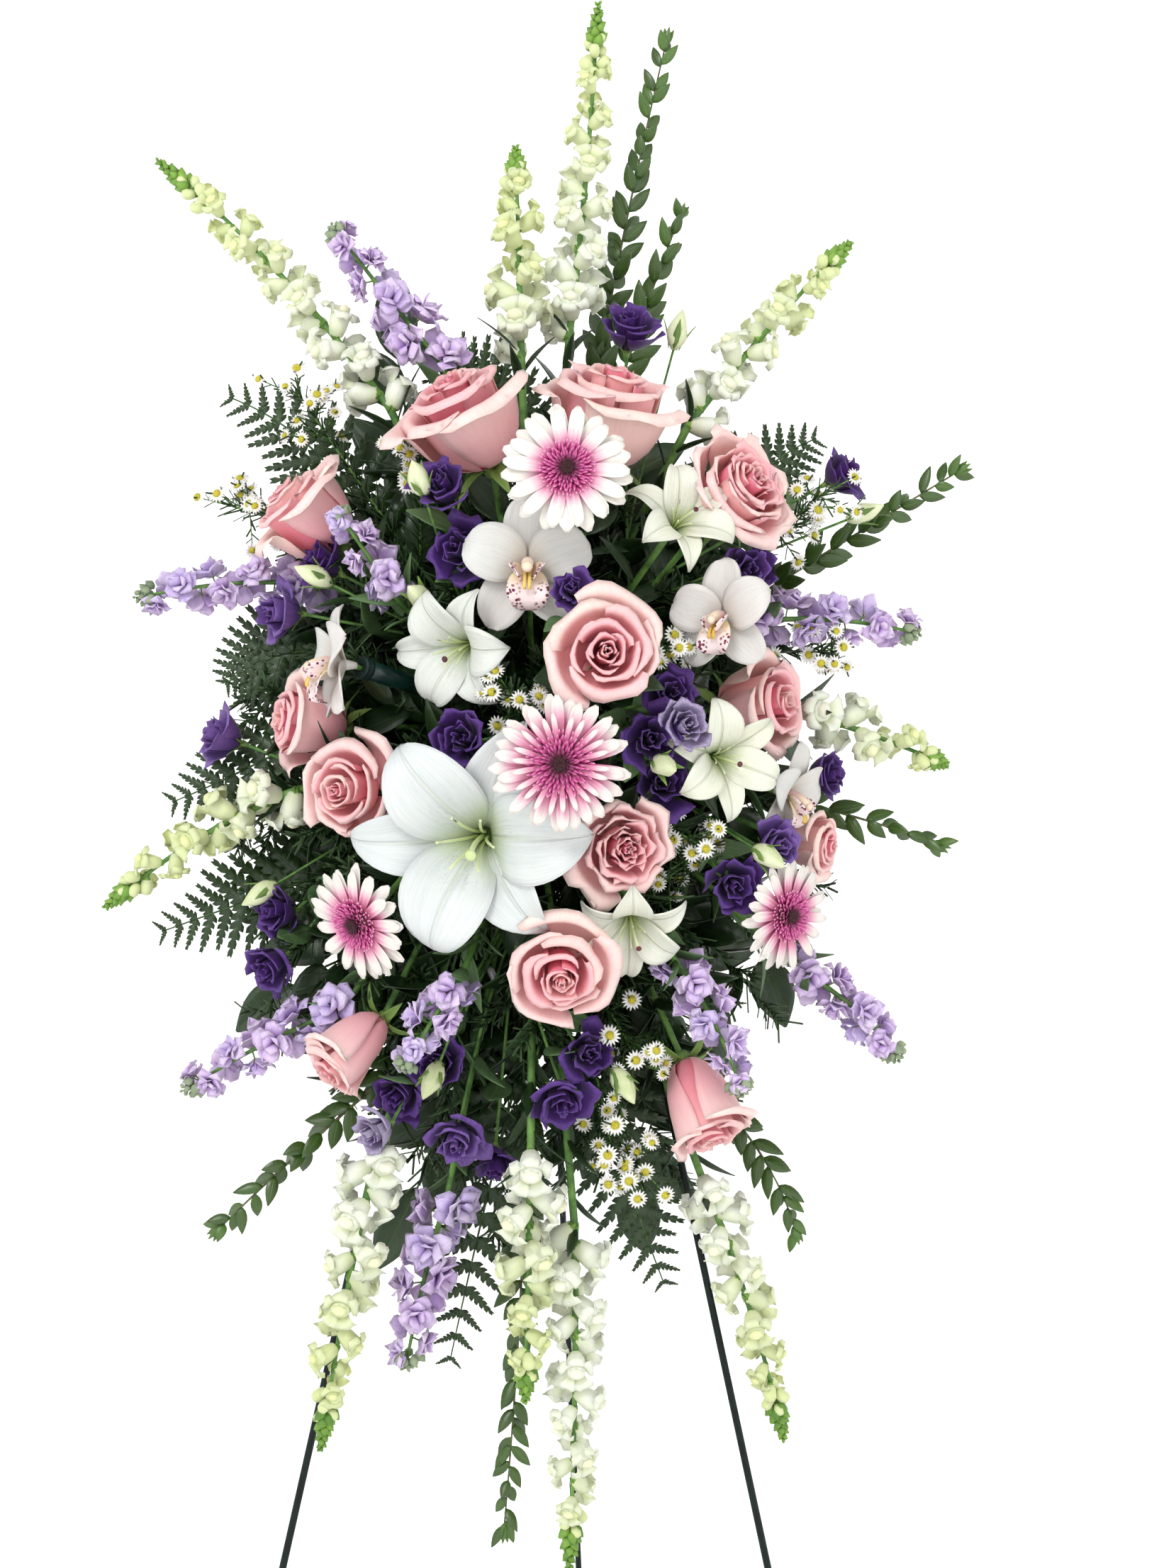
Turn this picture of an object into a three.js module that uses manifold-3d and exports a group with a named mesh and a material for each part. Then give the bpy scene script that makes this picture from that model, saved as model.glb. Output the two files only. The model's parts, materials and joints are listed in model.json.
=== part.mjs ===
// A standing funeral spray: cut flowers and greens in a caged brick of wet foam, hooked on a folding wire
// easel. Millimetres, +Z up, +X to the right as one faces the flowers, and -Y towards the viewer.
// The origin is on the floor, under the middle of the whole.
import * as THREE from "three";
import { mergeVertices } from "three/addons/utils/BufferGeometryUtils.js";
import Module from "manifold-3d";

const wasm = await Module();
wasm.setup();

// Driving dimensions of the easel, the foam and the fits.
const GAP = 0.3;
const EASEL = {
  wire: 3,
  halfSpread: 312,
  apexHalf: 8,
  apexHeight: 1430,
  lean: 300,
  rearReach: 340,
  rearShift: 57,
  frontFeet: -301,
  barHeights: [1300, 1120],
  eyeOuter: 8,
  eyeWidth: 6,
  collarHeight: 460,
  collarLength: 22,
  collarRadius: 5.5,
};
const FOAM = { wide: 120, deep: 85, tall: 250, middleHeight: 1227 };
const CAGE = { wall: 3, strap: 5, hoops: [-60, 60], straps: [-20, 20], hook: 6, hookDrop: 6 };

// Every flower is placed in arrangement measures: across to the right, out towards the viewer, and up,
// from a point above the front feet's line by FOAM.middleHeight and behind it by ARRANGEMENT_BACK.
const ARRANGEMENT_BACK = 187;
// The stems point at one common spot inside the foam, so straight stems never meet.
const MEETING = new THREE.Vector3(5, 25, 0);
const STEM_DEPTH = 28;
const STEM_SIDES = 3;
// Florets of a spike keep their full size where its levels are at least this far apart, and cover this
// share of its curve. The florets at its tip are this much smaller.
const SPIKE_SPACING = 34;
const SPIKE_SHARE = 0.93;
const SPIKE_SHRINK = 0.5;
// A floret: lobes and, from its stem's face, how far the rim lies out, its outer and inner radius, and how
// far its middle stands up.
const STOCK_FLORET = { lobes: 3, reach: 12, outer: 17, inner: 9, dish: 2, stem: 2.4 };
const SNAPDRAGON_FLORET = { lobes: 2, reach: 17, outer: 16, inner: 11, dish: -3, stem: 2.2 };
// Greens: the half width of the rib at a leaf's foot, the thickness there, and the share of the curve that
// is bare stalk.
const FERN = { rows: 6, pinna: 40, shrink: 0.85, rib: 1.6, thick: 2.4, bare: 0.35 };
const MYRTLE = { spacing: 44, leaf: 34, shrink: 0.4, rib: 1.5, thick: 2.4, bare: 0.3 };
const BROAD = { leaf: [[16, 22, 6], [44, 27, 9], [60, 8, 6]], rib: 1.5, thick: 2.4, bare: 0.3 };
const ASTER_SPRAY = { stalk: 1.3, twig: 0.9, head: 10, reach: 26, rise: 12 };
const BRANCH = { main: 2.4, twig: 1.4, bud: 24, budRadius: 6, budStalk: 1.1, spread: 0.5 };
// Each further frond leaves the main stem this share of its length below the fork.
const FORK_STEP = 0.06;
// The water tube of one orchid, on a pick that stands in the foam.
const TUBE = {
  pickRadius: 2.5, taper: 6, radius: 8, body: 62, capRadius: 9.5, cap: 8, bore: 3, boreDepth: 34, below: 5,
};
const TUBE_SEGMENTS = 8;

const LEAN_ANGLE = Math.atan2(EASEL.lean, EASEL.apexHeight);

// Materials by the part's own finish.
function finish(color, roughness, metalness = 0) {
  return new THREE.MeshStandardMaterial({ color, roughness, metalness, flatShading: true });
}
const FINISH = {
  wire: finish(0x1c2a1e, 0.45, 0.6),
  foam: finish(0x2f5b34, 0.95),
  cage: finish(0x24402a, 0.5),
  rose: finish(0xf3c9b8, 0.6),
  gerbera: finish(0xfaf6f5, 0.55),
  lily: finish(0xf7f5ea, 0.5),
  orchid: finish(0xf0ece8, 0.5),
  tube: finish(0x14403c, 0.4),
  lisianthus: finish(0x6a4fa3, 0.6),
  stock: finish(0xc3a4cf, 0.7),
  snapdragon: finish(0xf3f4e6, 0.6),
  fern: finish(0x2c4a24, 0.6),
  myrtle: finish(0x2f4a22, 0.45),
  aster: finish(0xf8f6ee, 0.7),
};

// A seeded draw between -1 and 1.
function draws(seed) {
  let state = (seed * 2654435761) >>> 0;
  return () => {
    state = (state + 0x6d2b79f5) >>> 0;
    let t = Math.imul(state ^ (state >>> 15), 1 | state);
    t = (t + Math.imul(t ^ (t >>> 7), 61 | t)) ^ t;
    return (((t ^ (t >>> 14)) >>> 0) / 4294967296) * 2 - 1;
  };
}

// Across, out and up as a point of the arrangement's group.
function spot(across, out, up) {
  return new THREE.Vector3(across, -out, up);
}

// Solids.

function solidOf(geometry, matrix) {
  const bare = geometry.clone();
  bare.deleteAttribute("normal");
  bare.deleteAttribute("uv");
  if (matrix) bare.applyMatrix4(matrix);
  const merged = mergeVertices(bare, 1e-4);
  const mesh = new wasm.Mesh({
    numProp: 3,
    vertProperties: new Float32Array(merged.attributes.position.array),
    triVerts: new Uint32Array(merged.index.array),
  });
  return new wasm.Manifold(mesh);
}

function geometryOf(solid) {
  const { numProp, vertProperties, triVerts } = solid.getMesh();
  const count = vertProperties.length / numProp;
  const positions = new Float32Array(count * 3);
  for (let i = 0; i < count; i++) {
    positions.set(vertProperties.subarray(i * numProp, i * numProp + 3), i * 3);
  }
  const geometry = new THREE.BufferGeometry();
  geometry.setAttribute("position", new THREE.BufferAttribute(positions, 3));
  geometry.setIndex(new THREE.BufferAttribute(new Uint32Array(triVerts), 1));
  geometry.computeVertexNormals();
  return geometry;
}

function meshOf(name, solid, material) {
  const mesh = new THREE.Mesh(geometryOf(solid), material);
  mesh.name = name;
  return mesh;
}

function joined(solids) {
  return solids.reduce((whole, next) => whole.add(next));
}

function largestBody(solid) {
  return solid.decompose().reduce((best, next) => (next.volume() > best.volume() ? next : best));
}

// A closed skin built point by point and face by face, with its faces looking out.
class Skin {
  constructor() {
    this.points = [];
    this.faces = [];
    this.matrix = new THREE.Matrix4();
  }

  point(x, y, z) {
    const p = new THREE.Vector3(x, y, z).applyMatrix4(this.matrix);
    return this.points.push(p.x, p.y, p.z) / 3 - 1;
  }

  place(index) {
    return new THREE.Vector3().fromArray(this.points, index * 3);
  }

  face(a, b, c) {
    this.faces.push(a, b, c);
  }

  solid() {
    const geometry = new THREE.BufferGeometry();
    geometry.setAttribute("position", new THREE.Float32BufferAttribute(this.points, 3));
    geometry.setIndex(this.faces);
    return solidOf(geometry);
  }
}

// A ring of points with their angles, in order round the axis.
function ringStrip(skin, lower, upper) {
  const full = Math.PI * 2;
  const wrap = (angle) => ((angle % full) + full) % full;
  const start = lower[0].angle;
  const fromStart = (list) =>
    list.map((p) => ({ ...p, turn: wrap(p.angle - start + 1e-6) })).sort((p, q) => p.turn - q.turn);
  const a = fromStart(lower);
  const b = fromStart(upper);
  let i = 0;
  let j = 0;
  while (i < a.length || j < b.length) {
    const nextA = i < a.length ? (a[i + 1]?.turn ?? full + a[0].turn) : Infinity;
    const nextB = j < b.length ? (b[j + 1]?.turn ?? full + b[0].turn) : Infinity;
    const lowerPoint = a[i % a.length].index;
    const upperPoint = b[j % b.length].index;
    if (nextA <= nextB) {
      skin.face(lowerPoint, a[(i + 1) % a.length].index, upperPoint);
      i += 1;
    } else {
      skin.face(lowerPoint, b[(j + 1) % b.length].index, upperPoint);
      j += 1;
    }
  }
}

// One petal: rows of [out, up, half width, edge out, edge up] from the hub to the tip, lifted by thick at
// the middle. lap pulls the left edge in and the right edge out, so neighbours overlap without meeting.
function petal(skin, shape, angle, left, right, baseTop, thick, lap, swing) {
  const cos = Math.cos(angle);
  const sin = Math.sin(angle);
  const at = (out, side, up) => skin.point(out * cos - side * sin, out * sin + side * cos, up);
  const spine = [...shape.rows.map((row) => [row[0], row[1]]), shape.tip];
  let row = { l: left, r: right, t: baseTop, b: null };
  shape.rows.forEach(([out, up, half, edgeOut, edgeUp], i) => {
    const behind = i ? spine[i - 1] : shape.foot;
    const ahead = spine[i + 1];
    const run = Math.hypot(ahead[0] - behind[0], ahead[1] - behind[1]);
    const lift = shape.flat ? thick : thick * 0.5;
    const offOut = (-(ahead[1] - behind[1]) / run) * lift;
    const offUp = ((ahead[0] - behind[0]) / run) * lift;
    const wave = swing[i % swing.length];
    const l = at(out + edgeOut - lap, -half, up + edgeUp + lap + wave);
    const r = at(out + edgeOut + lap, half, up + edgeUp - lap + wave);
    const t = at(out + offOut, 0, up + offUp);
    const b = shape.flat ? null : at(out - offOut, 0, up - offUp);
    const next = { l, r, t, b };
    petalRow(skin, row, next, i === 0);
    row = next;
  });
  const tip = at(shape.tip[0], 0, shape.tip[1]);
  skin.face(row.l, tip, row.t);
  skin.face(row.t, tip, row.r);
  if (row.b === null) skin.face(row.l, row.r, tip);
  else {
    skin.face(row.l, row.b, tip);
    skin.face(row.b, row.r, tip);
  }
}

// The faces between two rows of a petal, split alike above and below so that they never cross.
function petalRow(skin, row, next, first) {
  const { l, r, t, b } = row;
  if (first) {
    skin.face(l, next.l, next.t);
    skin.face(l, next.t, t);
    skin.face(t, next.t, r);
    skin.face(r, next.t, next.r);
  } else {
    skin.face(l, next.l, t);
    skin.face(t, next.l, next.t);
    skin.face(t, next.t, next.r);
    skin.face(t, next.r, r);
  }
  if (next.b === null) {
    skin.face(l, next.r, next.l);
    skin.face(l, r, next.r);
  } else if (first) {
    skin.face(l, next.b, next.l);
    skin.face(l, r, next.b);
    skin.face(r, next.r, next.b);
  } else {
    skin.face(l, b, next.l);
    skin.face(b, next.b, next.l);
    skin.face(b, next.r, next.b);
    skin.face(b, r, next.r);
  }
}

// The stem below a flower, from the flower down: rings round its points, in the head's own axes. It ends
// in a cap, or on a face that it grows out of. side is a direction across it, so that it fits its bore.
function stemUnder(skin, stem) {
  const rings = stem.points.map((p, i) => {
    const towards = i ? stem.points[i - 1].clone().sub(p).normalize() : new THREE.Vector3(0, 0, 1);
    const flat = stem.side.clone().addScaledVector(towards, -stem.side.dot(towards)).normalize();
    const other = towards.clone().cross(flat);
    const turn = Math.atan2(flat.y, flat.x);
    const ring = [];
    for (let j = 0; j < STEM_SIDES; j++) {
      const angle = (j / STEM_SIDES) * Math.PI * 2;
      const q = p.clone().addScaledVector(flat, stem.radius * Math.cos(angle));
      q.addScaledVector(other, stem.radius * Math.sin(angle));
      ring.push({ angle: turn + angle, index: skin.point(q.x, q.y, q.z) });
    }
    return ring;
  });
  if (stem.face) rings.push(stem.face.map((index) => ({ index })));
  rings.slice(1).forEach((low, i) => {
    const high = rings[i];
    low.forEach((p, j) => {
      const next = (j + 1) % low.length;
      skin.face(p.index, low[next].index, high[next].index);
      skin.face(p.index, high[next].index, high[j].index);
    });
  });
  const end = rings.at(-1);
  if (!stem.face) skin.face(end[0].index, end[2].index, end[1].index);
  return rings[0];
}

// A flower with its stem in a closed skin: whorls of petals stacked on a shared cone, up to the crown.
// Each whorl's petals meet at notches on a ring, so no two faces cross. stem.points run from the flower
// down, in world axes, as does stem.side. local is the matrix of the head's own axes, with +Z its facing.
function flower(skin, local, size, whorls, crown, stem, seed) {
  const draw = draws(seed);
  const inverse = local.clone().invert();
  skin.matrix = local;
  let below = stemUnder(skin, {
    ...stem,
    points: stem.points.map((p) => p.clone().applyMatrix4(inverse)),
    side: stem.side.clone().transformDirection(inverse),
  });
  whorls.forEach((whorl) => {
    const { petals, ring, reach = ring, level, turn = 0, thick = 0.9, lap = 0, loose = 0, shapes } = whorl;
    const step = (Math.PI * 2) / petals;
    const notches = [];
    const middles = [];
    const r = ring * size;
    const z = level * size;
    const chord = r * Math.cos(step * 0.5);
    for (let j = 0; j < petals; j++) {
      const angle = turn + step * (j - 0.5);
      const middle = angle + step * 0.5;
      notches.push({ angle, index: skin.point(r * Math.cos(angle), r * Math.sin(angle), z) });
      let far = reach * size;
      let high = z;
      if (shapes) {
        const { rows, tip } = shapes[j % shapes.length];
        const [out, up] = rows[0] ?? tip;
        const slope = Math.atan2(up * size - z, out * size - chord);
        far = Math.max(chord - thick * Math.sin(slope), chord * 0.4);
        high = z + thick * Math.cos(slope);
      }
      const index = skin.point(far * Math.cos(middle), far * Math.sin(middle), high);
      middles.push({ angle: middle, index });
    }
    const topRing = notches.flatMap((notch, j) => [notch, middles[j]]);
    ringStrip(skin, below, shapes ? notches : topRing);
    if (shapes) {
      for (let j = 0; j < petals; j++) {
        const long = 1 + loose * draw();
        const rise = loose * draw() * 0.5;
        const scale = ([out, up, half = 0, edgeOut = 0, edgeUp = 0]) =>
          [out * long, up + rise * out, half, edgeOut, edgeUp].map((v) => v * size);
        const source = shapes[j % shapes.length];
        const shape = { ...source, foot: [chord, z], rows: source.rows.map(scale), tip: scale(source.tip) };
        const swing = shape.rows.map(() => loose * draw() * 0.25 * size);
        const right = notches[(j + 1) % petals].index;
        const { angle, index: top } = middles[j];
        petal(skin, shape, angle, notches[j].index, right, top, thick, lap * size, swing);
      }
    }
    below = topRing;
  });
  const crownPoint = skin.point(0, 0, crown * size);
  below.forEach((p, j) => skin.face(crownPoint, p.index, below[(j + 1) % below.length].index));
  skin.matrix = new THREE.Matrix4();
  return skin;
}

// A direction across a stem that runs the given way.
function across(way) {
  const steep = Math.abs(way.z) >= 0.8 * way.length();
  const reference = steep ? new THREE.Vector3(0, 1, 0) : new THREE.Vector3(0, 0, 1);
  return reference.cross(way).normalize();
}

// A straight stalk between two points, as a bore for a stem.
function stalk(from, to, radius, sides) {
  const way = to.clone().sub(from).normalize();
  const side = across(way);
  const other = way.clone().cross(side);
  const skin = new Skin();
  const rings = [from, to].map((p) => {
    const ring = [];
    for (let j = 0; j < sides; j++) {
      const angle = (j / sides) * Math.PI * 2;
      const q = p.clone().addScaledVector(side, radius * Math.cos(angle));
      q.addScaledVector(other, radius * Math.sin(angle));
      ring.push(skin.point(q.x, q.y, q.z));
    }
    return ring;
  });
  const [low, high] = rings;
  low.forEach((index, j) => {
    const next = (j + 1) % sides;
    skin.face(index, low[next], high[next]);
    skin.face(index, high[next], high[j]);
  });
  for (let j = 1; j < sides - 1; j++) {
    skin.face(low[0], low[j + 1], low[j]);
    skin.face(high[0], high[j], high[j + 1]);
  }
  return skin.solid();
}

// A bud on its stalk, in one closed skin.
function budOnStalk(from, tip, long, radius) {
  const way = tip.clone().sub(from).normalize();
  const foot = tip.clone().addScaledVector(way, -long);
  const stem = { points: [foot, from], radius: BRANCH.budStalk, side: across(way) };
  const waist = [{ petals: 2, ring: 1, level: (long * 0.4) / radius }];
  return flower(new Skin(), pose(foot, way), radius, waist, long / radius, stem, 1).solid();
}

// A flower spike as one closed skin: a three-sided stem that turns as it climbs, and on each of its
// sides at each level a floret whose funnel grows out of that side. start is the stem's lower end.
function spikeSkin(curve, levels, floret, start, side) {
  const { lobes, reach, outer, inner, dish, stem: radius } = floret;
  const skin = new Skin();
  const sides = 3;
  const ringAt = (p, towards, cross, r) => {
    const flat = cross.clone().addScaledVector(towards, -cross.dot(towards)).normalize();
    const other = towards.clone().cross(flat);
    return [0, 1, 2].map((j) => {
      const angle = (j / sides) * Math.PI * 2;
      const q = p.clone().addScaledVector(flat, r * Math.cos(angle));
      q.addScaledVector(other, r * Math.sin(angle));
      return { p: q, index: skin.point(q.x, q.y, q.z) };
    });
  };
  const wall = (low, high) => {
    low.forEach((p, j) => {
      const next = (j + 1) % sides;
      skin.face(p.index, low[next].index, high[next].index);
      skin.face(p.index, high[next].index, high[j].index);
    });
  };
  let below = ringAt(start, curve.getPoint(0).sub(start).normalize(), side, radius);
  skin.face(below[0].index, below[2].index, below[1].index);
  const cross = side.clone();
  const fit = Math.min(1, curve.getLength() / levels / SPIKE_SPACING);
  for (let i = 0; i <= levels; i++) {
    const t = (i / levels) * SPIKE_SHARE;
    const along = curve.getTangent(t);
    if (i) cross.applyAxisAngle(along, Math.PI / 3);
    const ring = ringAt(curve.getPoint(t), along, cross, radius * (1.25 - 0.6 * t));
    if (i === 0) wall(below, ring);
    else {
      const size = fit * (1 - SPIKE_SHRINK * ((i - 1) / (levels - 1)) ** 1.3);
      const bud = i === levels;
      const axis = curve.getPoint(t).lerp(curve.getPoint(((i - 1) / levels) * SPIKE_SHARE), 0.5);
      below.forEach((p, j) => {
        const next = (j + 1) % sides;
        const corners = [p, below[next], ring[next], ring[j]];
        const middle = corners.reduce((sum, c) => sum.add(c.p), new THREE.Vector3()).multiplyScalar(0.25);
        const facing = middle.clone().sub(axis).normalize().addScaledVector(along, 0.25 * (1 - t)).normalize();
        const centre = middle.clone().addScaledVector(facing, reach * size);
        const x = along.clone().cross(facing).normalize();
        const y = facing.clone().cross(x);
        const corner = corners.map((c) => {
          const off = c.p.clone().sub(middle);
          return { angle: Math.atan2(off.dot(y), off.dot(x)), index: c.index };
        });
        const count = bud ? 2 : lobes;
        const rim = [];
        for (let k = 0; k < count * 2; k++) {
          const angle = (k / count) * Math.PI + 0.5;
          const r = (k % 2 ? inner : outer) * size * (bud ? 0.6 : 1);
          const q = centre.clone().addScaledVector(x, r * Math.cos(angle));
          q.addScaledVector(y, r * Math.sin(angle));
          rim.push({ angle, index: skin.point(q.x, q.y, q.z) });
        }
        ringStrip(skin, corner, rim);
        const top = centre.addScaledVector(facing, (bud ? outer : dish) * size);
        const crown = skin.point(top.x, top.y, top.z);
        rim.forEach((q, k) => skin.face(crown, q.index, rim[(k + 1) % rim.length].index));
      });
    }
    below = ring;
  }
  const end = curve.getPoint(1);
  const tip = skin.point(end.x, end.y, end.z);
  below.forEach((p, j) => skin.face(p.index, below[(j + 1) % sides].index, tip));
  return skin.solid();
}

// A feathered blade along a midrib, with its stalk as the first rows: leaf(i, hand) gives the outline
// points of one leaflet as [along, sideways, up] from its root, and the two sides mirror each other.
function frond(midrib, face, rib, thick, leaf) {
  const skin = new Skin();
  const count = midrib.length - 1;
  const rows = midrib.map((p, i) => {
    const back = midrib[Math.max(i - 1, 0)];
    const next = midrib[Math.min(i + 1, count)];
    const along = next.clone().sub(back).normalize();
    const side = along.clone().cross(face).normalize();
    const up = side.clone().cross(along).normalize();
    return { p, along, side, up };
  });
  const put = (row, along, side, up) => {
    const q = row.p.clone().addScaledVector(row.along, along);
    q.addScaledVector(row.side, side).addScaledVector(row.up, up);
    return skin.point(q.x, q.y, q.z);
  };
  const end = put(rows[count], 0, 0, 0);
  const tops = rows.map((row, i) => (i === count ? end : put(row, 0, 0, thick * 0.5)));
  const lows = rows.map((row, i) => (i === count ? end : put(row, 0, 0, -thick * 0.5)));
  [1, -1].forEach((hand) => {
    const notches = rows.map((row, i) => (i === count ? end : put(row, 0, rib * hand, 0)));
    for (let i = 0; i < count; i++) {
      const outline = leaf(i, hand).map(([a, s, u]) => put(rows[i], a, (rib + s) * hand, u));
      const edge = [notches[i], ...outline, notches[i + 1]];
      [1, -1].forEach((above) => {
        const spine = above > 0 ? tops : lows;
        const turned = above * hand > 0;
        for (let k = 0; k < edge.length - 1; k++) {
          if (turned) skin.face(spine[i], edge[k], edge[k + 1]);
          else skin.face(spine[i], edge[k + 1], edge[k]);
        }
        if (i < count - 1) {
          if (turned) skin.face(spine[i], notches[i + 1], spine[i + 1]);
          else skin.face(spine[i], spine[i + 1], notches[i + 1]);
        }
      });
      if (i === 0) {
        if (hand > 0) skin.face(tops[0], lows[0], notches[0]);
        else skin.face(tops[0], notches[0], lows[0]);
      }
    }
  });
  return skin.solid();
}

// The matrix that sets a head down at a point: +Z along facing, +Y as near upright as it goes.
function pose(point, facing, roll = 0) {
  const z = facing.clone().normalize();
  const upright = Math.abs(z.z) < 0.95 ? new THREE.Vector3(0, 0, 1) : new THREE.Vector3(0, 1, 0);
  const x = upright.cross(z).normalize();
  const y = z.clone().cross(x);
  const turn = new THREE.Matrix4().makeBasis(x, y, z);
  const moved = new THREE.Matrix4().setPosition(point);
  return moved.multiply(turn).multiply(new THREE.Matrix4().makeRotationZ(roll));
}

// Petal plans, in shares of the head's radius, seen with the head facing up.

const OPEN_ROSE = [
  {
    petals: 5, ring: 0.2, level: -0.3, thick: 1, lap: 0.05, loose: 0.05,
    shapes: [{ rows: [[0.8, 0.1, 0.5, -0.16, 0.02]], tip: [1.06, 0.02] }],
  },
  {
    petals: 4, ring: 0.17, level: -0.12, turn: 0.63, thick: 1, lap: 0.045, loose: 0.03,
    shapes: [{ rows: [[0.62, 0.42, 0.5, -0.16, 0]], tip: [0.82, 0.42] }],
  },
  {
    petals: 3, ring: 0.14, level: 0, turn: 0.2, thick: 0.9, lap: 0.04,
    shapes: [{ rows: [[0.42, 0.5, 0.4, -0.09, 0]], tip: [0.52, 0.62] }],
  },
  {
    petals: 3, ring: 0.1, level: 0.1, turn: 0.5, thick: 0.9, lap: 0.02,
    shapes: [{ rows: [], tip: [0.14, 0.68] }],
  },
];
const CUPPED_ROSE = [
  {
    petals: 5, ring: 0.22, level: -0.5, thick: 1, lap: 0.06, loose: 0.04,
    shapes: [{ rows: [[0.76, -0.12, 0.46, -0.14, 0.05], [0.98, 0.42, 0.52, -0.22, 0]], tip: [1.1, 0.5] }],
  },
  {
    petals: 4, ring: 0.18, level: -0.3, turn: 0.5, thick: 1, lap: 0.05,
    shapes: [{ rows: [[0.62, 0.3, 0.46, -0.16, 0.02]], tip: [0.7, 0.72] }],
  },
  {
    petals: 3, ring: 0.14, level: -0.15, turn: 0.2, thick: 0.9, lap: 0.04,
    shapes: [{ rows: [[0.36, 0.4, 0.36, -0.1, 0]], tip: [0.34, 0.78] }],
  },
];
const GERBERA = [
  {
    petals: 14, ring: 0.26, level: -0.06, thick: 1.3, loose: 0.05,
    shapes: [{ flat: true, rows: [[0.64, 0.03, 0.09, 0, 0]], tip: [1, -0.03] }],
  },
  {
    petals: 9, ring: 0.25, level: 0.04, turn: 0.17, thick: 1.4, loose: 0.04,
    shapes: [{ flat: true, rows: [], tip: [0.62, 0.1] }],
  },
  { petals: 5, ring: 0.16, level: 0.1 },
];
const STAMENS = {
  petals: 6, ring: 0.05, level: -0.28, turn: 0.2, thick: 0.7,
  shapes: [{ flat: true, rows: [[0.28, 0.24, 0.045, 0, 0]], tip: [0.38, 0.36] }],
};
const LILY = [
  {
    petals: 3, ring: 0.12, level: -0.5, turn: 0.52, thick: 1.5, loose: 0.06,
    shapes: [{ rows: [[0.3, -0.16, 0.15, -0.02, 0.05], [0.76, 0.08, 0.22, -0.04, 0.06]], tip: [1.06, -0.08] }],
  },
  {
    petals: 3, ring: 0.1, level: -0.35, turn: 1.57, thick: 1.5, loose: 0.05,
    shapes: [{ rows: [[0.28, -0.04, 0.2, -0.03, 0.06], [0.7, 0.16, 0.32, -0.06, 0.08]], tip: [1, 0.02] }],
  },
  STAMENS,
  { petals: 2, ring: 0.03, level: -0.22 },
];
const ORCHID = [
  {
    petals: 5, ring: 0.12, level: -0.12, turn: 1.57, thick: 1.5, loose: 0.04,
    shapes: [{ rows: [[0.45, 0.06, 0.19, -0.02, 0.05], [0.8, 0.04, 0.19, -0.02, 0.02]], tip: [1, -0.04] }],
  },
  {
    petals: 3, ring: 0.1, level: 0, turn: -1.57, thick: 1.4,
    shapes: [
      { rows: [[0.3, 0.14, 0.15, -0.02, 0.05], [0.48, 0.24, 0.2, -0.03, 0]], tip: [0.58, 0.14] },
      { rows: [[0.22, 0.25, 0.14, -0.04, 0.02]], tip: [0.24, 0.4] },
      { rows: [[0.22, 0.25, 0.14, -0.04, 0.02]], tip: [0.24, 0.4] },
    ],
  },
  { petals: 2, ring: 0.07, level: 0.18 },
];
const LISIANTHUS = [
  {
    petals: 4, ring: 0.2, level: -0.35, thick: 1, lap: 0.06, loose: 0.06,
    shapes: [{ flat: true, rows: [[0.66, 0.12, 0.58, 0, 0]], tip: [1, 0.2] }],
  },
  {
    petals: 3, ring: 0.14, level: -0.15, turn: 0.4, thick: 0.9, lap: 0.03,
    shapes: [{ flat: true, rows: [], tip: [0.42, 0.62] }],
  },
];

// Kinds of single bloom: foot and crown are heights along the axis, middle is where the plan's spot lies.
const BLOOMS = {
  rose: { whorls: OPEN_ROSE, foot: -0.5, crown: 0.3, middle: 0.2, stem: 2.6 },
  cup: { whorls: CUPPED_ROSE, foot: -0.72, crown: 0.2, middle: 0.1, stem: 2.6 },
  gerbera: { whorls: GERBERA, foot: -0.28, crown: 0.14, middle: 0, stem: 2.6 },
  lily: { whorls: LILY, foot: -0.75, crown: 0.42, middle: 0, stem: 2.8 },
  orchid: { whorls: ORCHID, foot: -0.34, crown: 0.42, middle: 0, stem: 2.2 },
  lisianthus: { whorls: LISIANTHUS, foot: -0.75, crown: 0.12, middle: 0.1, stem: 1.4 },
};

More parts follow.
